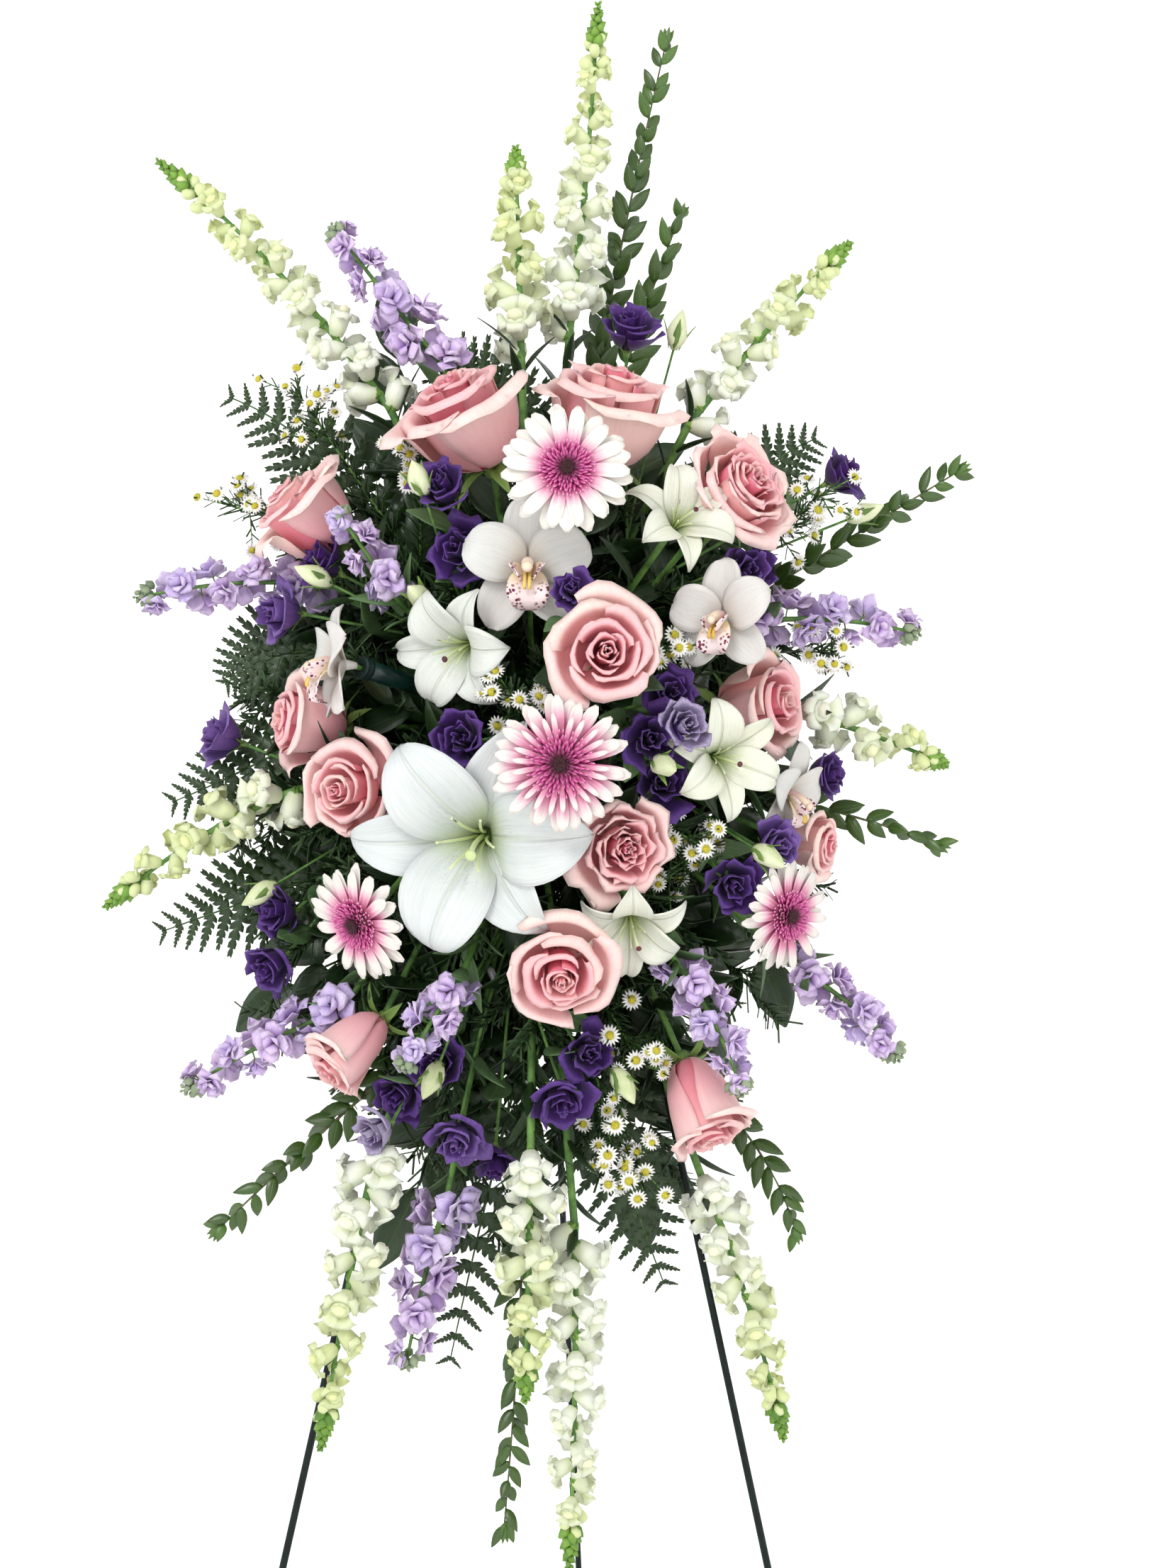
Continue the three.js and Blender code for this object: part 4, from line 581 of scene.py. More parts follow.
leaf_finish("fern_leaf", "0F210D", "213E14", "335026", 0.45, 0.2, 3.0, young="2C4C1A")
leaf_finish("myrtle_leaf", "1E3410", "3B5C1E", "5E7E38", 0.36, 0.3, 8.0, young="56802A")
leaf_finish("broad_leaf", "10200F", "24401C", "3E5C2E", 0.42, 0.25, 8.0)
leaf_finish("grey_leaf", "3B5A34", "5F8050", "85A070", 0.6, 0.0, 7.0)
leaf_finish("sepal", "4F7434", "7C9C4C", "9CB468", 0.55, 0.0, 4.0)
leaf_finish("needle_leaf", "132610", "2E4D1E", "2E4D1E", 0.55, 0.05, 1.0)
leaf_finish("pale_bud", "B9C68A", "E6EBC8", "C9D49C", 0.5, 0.05, 4.0)
leaf_finish("tip_bud", "4A7828", "84AC44", "98BE58", 0.55, 0.0, 4.0)
leaf_finish("stock_bud", "6E8264", "9FAE8C", "A894B8", 0.7, 0.0, 4.0)
stalk_finish("stem_green", "3F6B2C", "6E9A48")
stalk_finish("stem_dark", "26451F", "44682F")
stalk_finish("stem_red", "4A3A22", "5A6A34")
print("finishes:", len(bpy.data.materials))

# %% [markdown]
# The easel is wire with a dark green, nearly black paint, a little glossy and never quite even. The foam is
# fine wet foam, the cage is moulded plastic, and one orchid drinks from a dark green tube. The foam and
# the cage have their right shape already, so they only need a finish.

# %% Finishes of the stand


def stand_finishes():
    f = Finish("wire_paint", roughness=0.45)
    f.shader.inputs["Specular IOR Level"].default_value = 0.25
    cloud = f.group("clouds", Place=f.place, Scale=60.0)[0]
    f.done(f.mix(cloud, "04100E", "0A1D1A"), f.group("clouds", Place=f.place, Scale=900.0)[0], 0.0002, 0.35)
    f = Finish("foam_green", roughness=0.95)
    grain = f.group("pores", Place=f.place, Scale=900.0)[0]
    f.done(f.mix(f.group("clouds", Place=f.place, Scale=40.0)[0], "1B3A22", "2C5533"), grain, 0.0012, 0.8)
    f = Finish("cage_plastic", roughness=0.4, coat=0.1)
    f.done(f.mix(f.group("clouds", Place=f.place, Scale=50.0)[0], "143020", "1E4029"),
           f.group("clouds", Place=f.place, Scale=700.0)[0], 0.0002, 0.3)
    f = Finish("tube_plastic", roughness=0.3, coat=0.2)
    f.done(f.mix(f.group("clouds", Place=f.place, Scale=60.0)[0], "07211F", "0F322D"))
    f = Finish("tube_cap", roughness=0.5)
    f.done(f.mix(f.group("clouds", Place=f.place, Scale=60.0)[0], "051A18", "0B2824"),
           f.group("clouds", Place=f.place, Scale=800.0)[0], 0.0003, 0.4)


stand_finishes()
for name, finish in (("foam_brick", "foam_green"), ("foam_cage", "cage_plastic")):
    materials = frame["nodes"][name].data.materials
    materials.clear()
    materials.append(bpy.data.materials[finish])
print("finishes:", len(bpy.data.materials))

# %% [markdown]
# Every flower is placed by the planting plan of the model: a spot across, out towards the viewer and up from
# the middle of the foam, in millimetres, and the way it faces. A head is worked out once round its own axis,
# facing up, with its radius as one, and then turned and moved to its spot. Its stem starts where the solid's
# stem starts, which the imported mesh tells: the three points nearest to the spot where all stems meet.

# %% Places, turns and stems
MEETING = np.array([0.005, -0.089, 1.227])
APEX = np.array([0, -0.001, 1.43])
LEG_DROP = np.array([0.057, 0.34, -1.43])


def spot(place):
    """Plan millimetres (across, out, up) as metres in the model's frame."""
    across, out, up = np.moveaxis(np.asarray(place, float), -1, 0)
    return np.stack([across, -114.0 - out, 1227.0 + up], -1) * MM


def way(facing):
    """A plan direction (across, out, up) as a unit vector in the model's frame."""
    across, out, up = np.moveaxis(np.asarray(facing, float), -1, 0)
    return unit(np.stack([across, -out, up], -1))


def turns(facings, rolls=0.0, tops=None):
    """Turning matrices (k, 3, 3) whose columns are a head's own axes: z along the facing, and y as near as
    it goes to the upright, or to a given top."""
    z = unit(np.atleast_2d(facings))
    up = np.where(np.abs(z[:, 2:]) < 0.95, np.array([0, 0, 1.0]),
                  np.array([0, 1.0, 0])) if tops is None else tops
    x = unit(np.cross(up, z))
    y = np.cross(z, x)
    c, s = np.cos(rolls), np.sin(rolls)
    c, s = np.broadcast_to(c, len(z))[:, None], np.broadcast_to(s, len(z))[:, None]
    return np.stack([c * x + s * y, c * y - s * x, z], -1)


def placed(rings, origins, facings, sizes, rolls=0.0, tops=None):
    """Copies of head rings (p, m, r, 3) at k places: origin + turn (size point), as (k p, m, r, 3)."""
    rings = np.asarray(rings, float)
    rings = rings.reshape((-1,) + rings.shape[-3:])
    turn = turns(facings, rolls, tops)
    sizes = np.broadcast_to(np.asarray(sizes, float), len(turn))
    moved = np.einsum("kij,pmrj->kpmri", turn, rings) * sizes[:, None, None, None, None]
    moved += np.atleast_2d(origins)[:, None, None, None, :]
    return moved.reshape((-1,) + rings.shape[-3:])


def stem_start(name):
    """Where a solid's stem begins in the foam: the mean of its three points nearest to the meeting point."""
    mesh = frame["nodes"][name].data
    points = np.empty(len(mesh.vertices) * 3, np.float32)
    mesh.vertices.foreach_get("co", points)
    points = np.unique(points.reshape(-1, 3).round(5), axis=0)
    far = np.linalg.norm(points - MEETING, axis=1)
    return points[np.argsort(far)[:3]].mean(0)


def stalk(bunch, start, end, radius, finish, bow=0.0, around=8, steps=9, taper=1.0):
    """A stalk from start to end with a slight natural bow: a straight line plus bow sin(pi s) sideways."""
    start, end = np.asarray(start, float), np.asarray(end, float)
    s = np.linspace(0, 1, steps)
    side = unit(np.cross(end - start, [0.3, 0.1, 1.0]))
    path = start + (end - start) * s[:, None] + side * (bow * np.sin(np.pi * s))[:, None]
    bunch.add(tube_rings(path, radius * (1 + (taper - 1) * s), around), finish)


def leaf_sheets(length, width, m=9, n=5, fold=0.15, droop=0.1, point=1.0, foot=0.06):
    """Leaves along +X with their upper face to +Z: half width w(s) = width (sin(pi s^0.8))^point, a fold
    that lifts the edges by fold |t|, and a tip that falls by droop s^2. Arrays give one leaf each."""
    length, width = np.broadcast_arrays(np.atleast_1d(length).astype(float),
                                        np.atleast_1d(width).astype(float))
    s = np.linspace(0, 1, m)[:, None]
    t = np.linspace(-1, 1, n)[None, :]
    outline = np.maximum(np.sin(np.pi * s**0.8) ** point, foot)
    x = length[:, None, None] * s * (1 + 0 * t)
    y = width[:, None, None] * outline * t
    z = np.abs(t) * outline * width[:, None, None] * fold * 2 - droop * length[:, None, None] * s**2
    return np.stack([x, y, z], -1)


def set_leaves(leaves, roots, directions, tops):
    """Leaves moved to their roots: +X along the direction and +Z as near the given top as it goes."""
    x = unit(directions)
    y = unit(np.cross(tops, x))
    z = np.cross(x, y)
    turn = np.stack([x, y, z], -1)
    return np.einsum("kij,kmnj->kmni", turn, leaves) + np.asarray(roots)[:, None, None, :]


def ring_of_ways(line, angles):
    """Unit vectors square to a line, one for each angle round it."""
    line = np.broadcast_to(np.atleast_2d(line), (len(angles), 3))
    x = unit(np.cross(line, np.array([0.15, 0.25, 1.0])))
    return np.cos(angles)[:, None] * x + np.sin(angles)[:, None] * np.cross(line, x)


def beside_leg(places):
    """How far places are to the side of the rear leg's own plane, through which it swings."""
    fall = places - APEX
    return fall[..., 0] - LEG_DROP[0] * np.hypot(fall[..., 1], fall[..., 2]) / np.hypot(*LEG_DROP[1:])


def clear_of_leg(rings, room=0.011):
    """Which skins stay out of the strip that the leg sweeps between its rest and its folded angle: none of
    their points behind the folded leg is nearer to its plane than the room, or across it."""
    fall = rings - APEX
    behind = np.arctan2(fall[..., 1], -fall[..., 2]) > math.radians(13.37 - 22) - 0.025
    aside = beside_leg(rings)
    low = np.where(behind, aside, 9.0).min((-2, -1))
    high = np.where(behind, aside, -9.0).max((-2, -1))
    return (low > room) | (high < -room)


print("a stem of the top rose starts at", stem_start("rose_top").round(3))

# %% [markdown]
# A garden rose is one golden spiral of cupped petals, large and open outside, small and tight in the heart.
# Each petal is a slice of a turned cup: its radius and height follow one curve from base to rim, and the
# slice widens quickly and then keeps its width. Its rim is rounded, rolls outwards and waves. So a rose
# needs a single formula, whose numbers change along the spiral, and all its petals come out as one array.

# %% Roses
GOLDEN = math.pi * (3 - math.sqrt(5))


def cup_petals(angles, controls, spread, ruffle, waves, phase, twist, m, n, corner=0.2, frill=0.0):
    """Slices of turned cups, one for each angle. Along s the radius and height follow a Bezier curve;
    across t the angle is angle + spread b(s) t; corners sink by corner t^4; the rim waves by
    ruffle s^4 sin(waves pi t + phase) and frill s^9 sin(9 t + phase); twist pulls one edge in."""
    fit = [np.broadcast_to(np.asarray(v, float), np.shape(angles))[:, None, None]
           for v in (angles, spread, ruffle, phase, frill)]
    angles, spread, ruffle, phase, frill = fit
    s = np.linspace(0, 1, m)[:, None]
    t = np.linspace(-1, 1, n)[None, :]
    reach = s * (1 - corner * t**4 * s)
    rows = [np.stack(np.broadcast_arrays(*[np.atleast_1d(v) for v in c]), -1)[:, None, None, :]
            for c in controls]
    path = bezier(rows, np.broadcast_to(reach, (len(angles), m, n)))
    breadth = 0.3 + 0.7 * np.sin(np.pi / 2 * np.minimum(1.0, s * 1.6))
    wave = ruffle * s**4 * np.sin(waves * np.pi * t + phase) + frill * s**9 * np.sin(9 * t + 3 * phase)
    r = path[..., 0] * (1 + twist * t * s) + wave
    z = path[..., 1] + wave * 0.7
    turn = angles + spread * breadth * t
    return np.stack([r * np.cos(turn), r * np.sin(turn), z], -1)


OPEN_ROSE = {"petals": 17, "floor": -0.48, "rims": (0.92, 0.03), "crowd": 1.45, "heights": (0.0, 0.42),
             "curl": 0.15, "belly": 0.3, "middle": 0.2, "ruffle": 0.04}
RUFFLED_ROSE = OPEN_ROSE | {"petals": 20, "crowd": 1.1, "floor": -0.6, "ruffle": 0.1}
CUP_ROSE = {"petals": 14, "floor": -0.78, "rims": (0.76, 0.04), "crowd": 1.1, "heights": (0.24, 0.56),
            "curl": 0.22, "belly": 0.3, "middle": 0.1, "ruffle": 0.055}
BELL_ROSE = {"petals": 12, "floor": -1.05, "rims": (0.66, 0.04), "crowd": 1.0, "heights": (0.45, 0.62),
             "curl": 0.24, "belly": 0.3, "middle": 0.1, "ruffle": 0.055}


def rose_head(bunch, origin, facing, size, rng, form):
    """The spiral of petals, then the green hip and its five sepals."""
    count, floor = form["petals"], form["floor"]
    q = np.linspace(0, 1, count)
    angles = rng.random() * 6 + GOLDEN * np.arange(count) + rng.normal(0, 0.12, count)
    width = rng.uniform(0.92, 1.07, count) * (1 - q) ** form["crowd"]
    rim = form["rims"][1] + (form["rims"][0] - form["rims"][1]) * width
    high = form["heights"][0] + (form["heights"][1] - form["heights"][0]) * (1 - (1 - q) ** 1.7)
    high = high + rng.normal(0, 0.045, count) * (1 - 0.7 * q)
    curl = form["curl"] * (1 - q) ** 1.2 * rng.uniform(0.2, 1.5, count) + 0.008
    rise = high - floor
    controls = [(0.05 + 0 * q, floor + 0 * q), (0.1 + 0.45 * rim, floor + 0.02 + 0 * q),
                (0.06 + 1.05 * rim, floor + form["belly"] * rise), (0.02 + 0.93 * rim, high - 0.25 * rise),
                (rim * 0.96, high + 0.06), (rim + curl * 0.8, high + 0.09),
                (rim + curl * 1.5, high - curl * 0.7)]
    ruffle = form["ruffle"]
    sheets = cup_petals(angles, controls, 0.98 + 0.6 * q, ruffle * (1 - 0.6 * q), 1.7 + 9 * ruffle,
                        rng.random(count) * 6, 0.1, 10, 11, 0.13, 0.35 * ruffle * (1 - q))
    tone = rng.random(count)
    bunch.add(placed(sheet_rings(sheets, 0.0008 / size), origin, facing, size), "rose_petal",
              layer=q**0.8, tone=tone)
    hip = [(0.03, floor - 0.2), (0.12, floor - 0.15), (0.16, floor - 0.07),
           (0.14, floor + 0.02), (0.02, floor + 0.05)]
    bunch.add(placed(turned_rings(hip), origin, facing, size), "sepal")
    angle = np.arange(5) * 2 * np.pi / 5 + rng.random()
    out = np.stack([np.cos(angle), np.sin(angle), 0.1 + 0 * angle], -1)
    sepals = leaf_sheets(np.full(5, 0.62), 0.1, 8, 5, 0.3, 0.5, 0.8)
    leaves = set_leaves(sepals, out * 0.12 + [0, 0, floor - 0.03], out, np.tile([0, 0, 1.0], (5, 1)))
    bunch.add(placed(sheet_rings(leaves, 0.0008 / size), origin, facing, size), "sepal")

# %% [markdown]
# The plan lists each rose with its radius, its spot and the way it faces. Half-open roses stand higher and
# narrower, so they use other numbers. Each rose also carries three leaves on the outer half of its stem.

# %% The thirteen roses
ROSES = [
    ("rose_top_left", 60, (-50, 105, 250), (-0.45, 0.4, 0.8), CUP_ROSE),
    ("rose_top", 60, (70, 100, 255), (0.2, 0.35, 0.9), CUP_ROSE),
    ("rose_upper_right", 49, (180, 110, 190), (0.6, 0.7, 0.4), RUFFLED_ROSE),
    ("rose_left", 51, (-185, 60, 175), (-0.7, 0.3, 0.65), CUP_ROSE),
    ("rose_centre", 47, (65, 205, 50), (0.1, 1, 0.05), OPEN_ROSE),
    ("rose_right", 48, (195, 80, 15), (0.8, 0.55, 0.1), CUP_ROSE),
    ("rose_lower_left", 46, (-145, 120, -55), (-0.5, 0.85, -0.05), OPEN_ROSE),
    ("rose_far_left", 44, (-185, 60, 0), (-0.9, 0.4, 0.1), CUP_ROSE),
    ("rose_low_centre", 46, (30, 160, -200), (0.05, 0.9, -0.4), OPEN_ROSE),
    ("rose_small_right", 38, (80, 165, -100), (0.3, 0.95, -0.1), RUFFLED_ROSE),
    ("rose_bud_low_left", 40, (-145, 95, -270), (-0.6, 0.45, -0.6), BELL_ROSE),
    ("rose_low_right", 45, (145, 80, -320), (0.3, 0.45, -0.8), BELL_ROSE),
    ("rose_small_far_right", 31, (240, 50, -100), (0.85, 0.45, -0.1), CUP_ROSE),
]


def neck_leaves(bunch, start, neck, rng, finish, count, length, width, thick=0.0007):
    """Leaves on the outer half of a stalk, each turned a golden angle on from the one before."""
    s = rng.uniform(0.45, 0.86, count)
    roots = start + (neck - start) * s[:, None]
    along = unit(neck - start)
    out = ring_of_ways(along, rng.random() * 6 + GOLDEN * np.arange(count))
    leaves = leaf_sheets(length * rng.uniform(0.8, 1.15, count), width, 10, 5, 0.12, 0.12, 0.9)
    tops = np.tile(along, (count, 1))
    bunch.add(sheet_rings(set_leaves(leaves, roots, unit(out + along * 0.7), tops), thick), finish)


def single(name, size, place, facing, middle, foot, stem_radius, head,
           finish="stem_green", leaves=None):
    """One bloom of the plan as one piece: its head, its stem into the foam, and any leaves."""
    rng = np.random.default_rng(sum(name.encode()))
    axis = way(facing)
    size = size * MM
    origin = spot(place) - axis * middle * size
    neck = origin + axis * foot * size
    start = stem_start(name)
    bunch = Bunch()
    head(bunch, origin, axis, size, rng)
    stalk(bunch, start, neck + axis * 0.06 * size, stem_radius * MM, finish)
    if leaves:
        neck_leaves(bunch, start, neck, rng, *leaves)
    return make_piece(name + "_bloom", bunch, "stand", [name])


for name, size, place, facing, form in ROSES:
    def head(bunch, origin, axis, size, rng, form=form):
        rose_head(bunch, origin, axis, size, rng, form)
    single(name, size, place, facing, form["middle"], form["floor"] - 0.03, 2.6, head,
           leaves=("broad_leaf", 3, 0.055, 0.016))

# %% [markdown]
# A gerbera is a daisy: two rings of long flat rays, a fringe of tiny pink florets and a dark eye. The
# pinkest of the four has a ring of short rays as well. A ray is a strip with two shallow channels and a
# blunt tip. Rays in one ring differ a little in length and droop, so that the disc doesn't look stamped.

# %% Gerberas


def ray_sheets(angles, inner, outer, width, rise, droop, rng, m=8, n=3, blunt=6.0, start=0.5):
    """Rays from radius inner to outer: half width = width (start + (1 - start) s^0.7) (1 - s^blunt)^0.5,
    height = rise s - droop s^2, and two shallow channels. Each ray turns to its own angle."""
    k = len(angles)
    s = np.linspace(0, 1, m)[None, :, None]
    t = np.linspace(-1, 1, n)[None, None, :]
    long = (outer - inner) * rng.uniform(0.92, 1.03, k)[:, None, None]
    outline = (start + (1 - start) * s**0.7) * np.maximum(1 - s**blunt, 0.04) ** 0.5
    x = inner + long * s + 0 * t
    y = width * outline * t + rng.normal(0, 0.02, k)[:, None, None] * s**2
    bend = droop * rng.uniform(0.2, 1.7, k)[:, None, None]
    z = rise * s - bend * s**2 + 0.16 * width * np.cos(2 * np.pi * t) * outline
    z = z + rng.normal(0, 0.02, k)[:, None, None] * s
    a = np.asarray(angles)[:, None, None]
    return np.stack([x * np.cos(a) - y * np.sin(a), x * np.sin(a) + y * np.cos(a), z], -1)


def gerbera_head(bunch, origin, facing, size, rng, blush=0.0, slim=1.0):
    """Rays from the outside in, then florets, eye, the green cup under the head and its scales."""
    rings = [
        # rays, inner, outer, half width, height, rise, droop, layer
        (17, 0.2, 1.0, 0.15 * slim, -0.03, 0.05, 0.1, 0.0),
        (14, 0.2, 0.97, 0.135 * slim, 0.01, 0.09, 0.07, 0.2),
    ]
    if blush > 0.5:
        rings += [(22, 0.2, 0.72, 0.045, 0.03, 0.16, 0.05, 0.4)]
    for count, inner, outer, width, height, rise, droop, layer in rings:
        angles = rng.random() * 6 + np.arange(count) * 2 * np.pi / count + rng.normal(0, 0.035, count)
        sheets = ray_sheets(angles, inner, outer, width, rise, droop, rng, 9, 5)
        sheets[..., 2] += height
        bunch.add(placed(sheet_rings(sheets, 0.0009 / size), origin, facing, size), "gerbera_ray",
                  layer=layer, mark=blush)
    for i, reach in enumerate(np.linspace(0.44 + 0.1 * blush, 0.14, 6)):
        count = int(40 - 4 * i)
        angles = rng.random() * 6 + np.arange(count) * 2 * np.pi / count + rng.normal(0, 0.02, count)
        sheets = ray_sheets(angles, max(0.03, reach - 0.14), reach, 0.024, 0.1, 0.02, rng, 4, 3, 4.0, 0.6)
        sheets[..., 2] += 0.03 + 0.05 * i / 5
        bunch.add(placed(sheet_rings(sheets, 0.0006 / size), origin, facing, size), "gerbera_floret",
                  layer=i / 5)
    eye = [(0.12, 0.02), (0.115, 0.12), (0.09, 0.165), (0.06, 0.17), (0.03, 0.155), (0.005, 0.15)]
    bunch.add(placed(turned_rings(eye, 24), origin, facing, size), "gerbera_eye")
    cup = [(0.04, -0.28), (0.14, -0.22), (0.23, -0.1), (0.26, 0.0), (0.2, 0.03)]
    bunch.add(placed(turned_rings(cup, 20), origin, facing, size), "sepal")
    angle = np.arange(22) * GOLDEN
    round_way = np.stack([np.cos(angle), np.sin(angle), 0 * angle], -1)
    high = np.linspace(-0.2, -0.06, 22)[:, None]
    roots = round_way * (0.3 + high) + [0, 0, 1.0] * high
    scales = set_leaves(leaf_sheets(np.full(22, 0.2), 0.045, 5, 3, 0.1, 0.1),
                        roots, round_way + [0, 0, 0.5], round_way)
    bunch.add(placed(sheet_rings(scales, 0.0006 / size), origin, facing, size), "sepal")


GERBERAS = [
    # name, radius, spot, facing, blush, slimness of the rays
    ("gerbera_top", 50, (35, 190, 190), (0.05, 1, 0.1), 0.0, 1.0),
    ("gerbera_centre", 53, (30, 215, -35), (0, 1, -0.05), 0.6, 0.78),
    ("gerbera_left", 48, (-130, 135, -160), (-0.6, 0.75, -0.3), 0.25, 0.9),
    ("gerbera_right", 45, (210, 110, -155), (0.65, 0.75, -0.1), 0.35, 0.8),
]
for name, size, place, facing, blush, slim in GERBERAS:
    def head(bunch, origin, axis, size, rng, blush=blush, slim=slim):
        gerbera_head(bunch, origin, axis, size, rng, blush, slim)
    single(name, size, place, facing, 0, -0.28, 2.6, head)

# %% [markdown]
# A lily has six tepals: three narrow ones outside and three broad ones with wavy edges inside. They leave a
# deep throat, open into a star and roll back at their tips. A tepal is a sheet along a curve that rises and
# falls, folded along its midrib. Six filaments stand round a longer style with a knob at its end.

# %% Lilies


def tepals(angles, controls, width, rng, m=16, n=9, fold=0.12, ruffle=0.03, point=0.75, belly=0.9, sway=0.05):
    """Sheets along Bezier curves of (radius, height): half width = width sin(pi s^belly)^point, a valley
    along the midrib of depth fold |t|^1.5, and edges that wave by ruffle s t^2 sin(7 s + phase)."""
    k = len(angles)
    s = np.linspace(0, 1, m)[:, None]
    t = np.linspace(-1, 1, n)[None, :]
    pull = rng.uniform(0.93, 1.05, k)
    lift = rng.normal(0, 0.03, k)
    rows = [np.stack([r * pull, z + lift * r], -1)[:, None, None, :] for r, z in controls]
    path = bezier(rows, np.broadcast_to(s, (k, m, n)))
    half = width * np.maximum(np.sin(np.pi * s**belly) ** point, 0.05)
    phase = rng.random(k)[:, None, None] * 6
    high = path[..., 1] + fold * half / width * np.abs(t) ** 1.5
    high = high + ruffle * s * t**2 * np.sin(7 * s + 3 * np.sign(t) + phase)
    side = half * t + rng.normal(0, sway, k)[:, None, None] * s**2
    a = np.asarray(angles)[:, None, None]
    out = path[..., 0]
    return np.stack([out * np.cos(a) - side * np.sin(a), out * np.sin(a) + side * np.cos(a), high], -1)


def lily_head(bunch, origin, facing, size, rng, cream=0.0, stigma="lily_stigma", broad=1.0, roll=0.0):
    """Outer and inner tepals, the green foot, filaments and the style."""
    outer = [(0.05, -0.55), (0.14, -0.3), (0.3, -0.08), (0.62, 0.14), (0.92, 0.16), (1.03, -0.16)]
    inner = [(0.05, -0.5), (0.13, -0.22), (0.3, 0.02), (0.62, 0.26), (0.92, 0.22), (0.98, -0.06)]
    first = np.pi / 2 + np.arange(3) * 2 * np.pi / 3
    for angles, controls, width, ruffle, point in ((first + np.pi / 3, outer, 0.2 * broad, 0.03, 0.9),
                                                   (first, inner, 0.28 * broad, 0.06, 0.8)):
        rings = sheet_rings(tepals(angles, controls, width, rng, ruffle=ruffle, point=point), 0.0011 / size)
        bunch.add(placed(rings, origin, facing, size, roll), "lily_tepal", layer=cream)
    angle = np.arange(6) * np.pi / 3 + rng.random()
    out = np.stack([np.cos(angle), np.sin(angle)], -1)
    s = np.linspace(0, 1, 8)[None, :, None]
    spread = out[:, None, :] * (0.04 + 0.2 * s**1.6)
    path = np.concatenate([spread, np.broadcast_to(-0.45 + 0.62 * s, (6, 8, 1))], -1)
    bunch.add(placed(tube_rings(path, 0.013), origin, facing, size), "lily_filament")
    lean = np.array([0.1, -0.06])
    style = np.concatenate([lean * s[0] ** 2, -0.5 + 0.86 * s[0]], -1)
    bunch.add(placed(tube_rings(style[None], 0.022), origin, facing, size), "lily_filament")
    knob = turned_rings([(0.004, -0.03), (0.04, -0.01), (0.048, 0.015), (0.03, 0.035), (0.004, 0.03)], 12)
    bunch.add(placed(knob + [*lean, 0.36], origin, facing, size), stigma)
    foot = [(0.028, -0.78), (0.05, -0.68), (0.065, -0.55), (0.06, -0.48), (0.01, -0.46)]
    bunch.add(placed(turned_rings(foot), origin, facing, size), "sepal")


LILIES = [
    # name, radius, spot, facing, cream, stigma, breadth, turn round its own axis
    ("lily_large", 94, (-40, 165, -95), (-0.2, 0.95, -0.1), 0.0, "lily_stigma_pale", 1.35, 0.6),
    ("lily_middle_left", 54, (-55, 140, 55), (-0.5, 0.8, -0.25), 0.4, "lily_stigma", 1.35, 0.5),
    ("lily_upper_right", 46, (125, 140, 160), (0.3, 0.85, 0.35), 1.0, "lily_stigma", 1.15, 0.0),
    ("lily_right", 48, (158, 145, -30), (0.35, 0.9, -0.1), 1.0, "lily_stigma", 1.2, 0.2),
    ("lily_low", 48, (85, 140, -165), (0.05, 0.75, -0.6), 0.8, "lily_stigma", 1.2, 0.0),
]
for name, size, place, facing, *looks in LILIES:
    def head(bunch, origin, axis, size, rng, looks=looks):
        lily_head(bunch, origin, axis, size, rng, *looks)
    single(name, size, place, facing, 0, -0.75, 2.8, head, leaves=("broad_leaf", 4, 0.06, 0.009))

# %% [markdown]
# A cymbidium has five broad tepals and a lip. The lip has two side lobes that stand up round the column and
# a middle lobe that rolls forward, spotted along its edge. Two yellow ridges run down it, and the column
# arches over them. The tepal formula makes all of it, with other numbers.

# %% Orchids


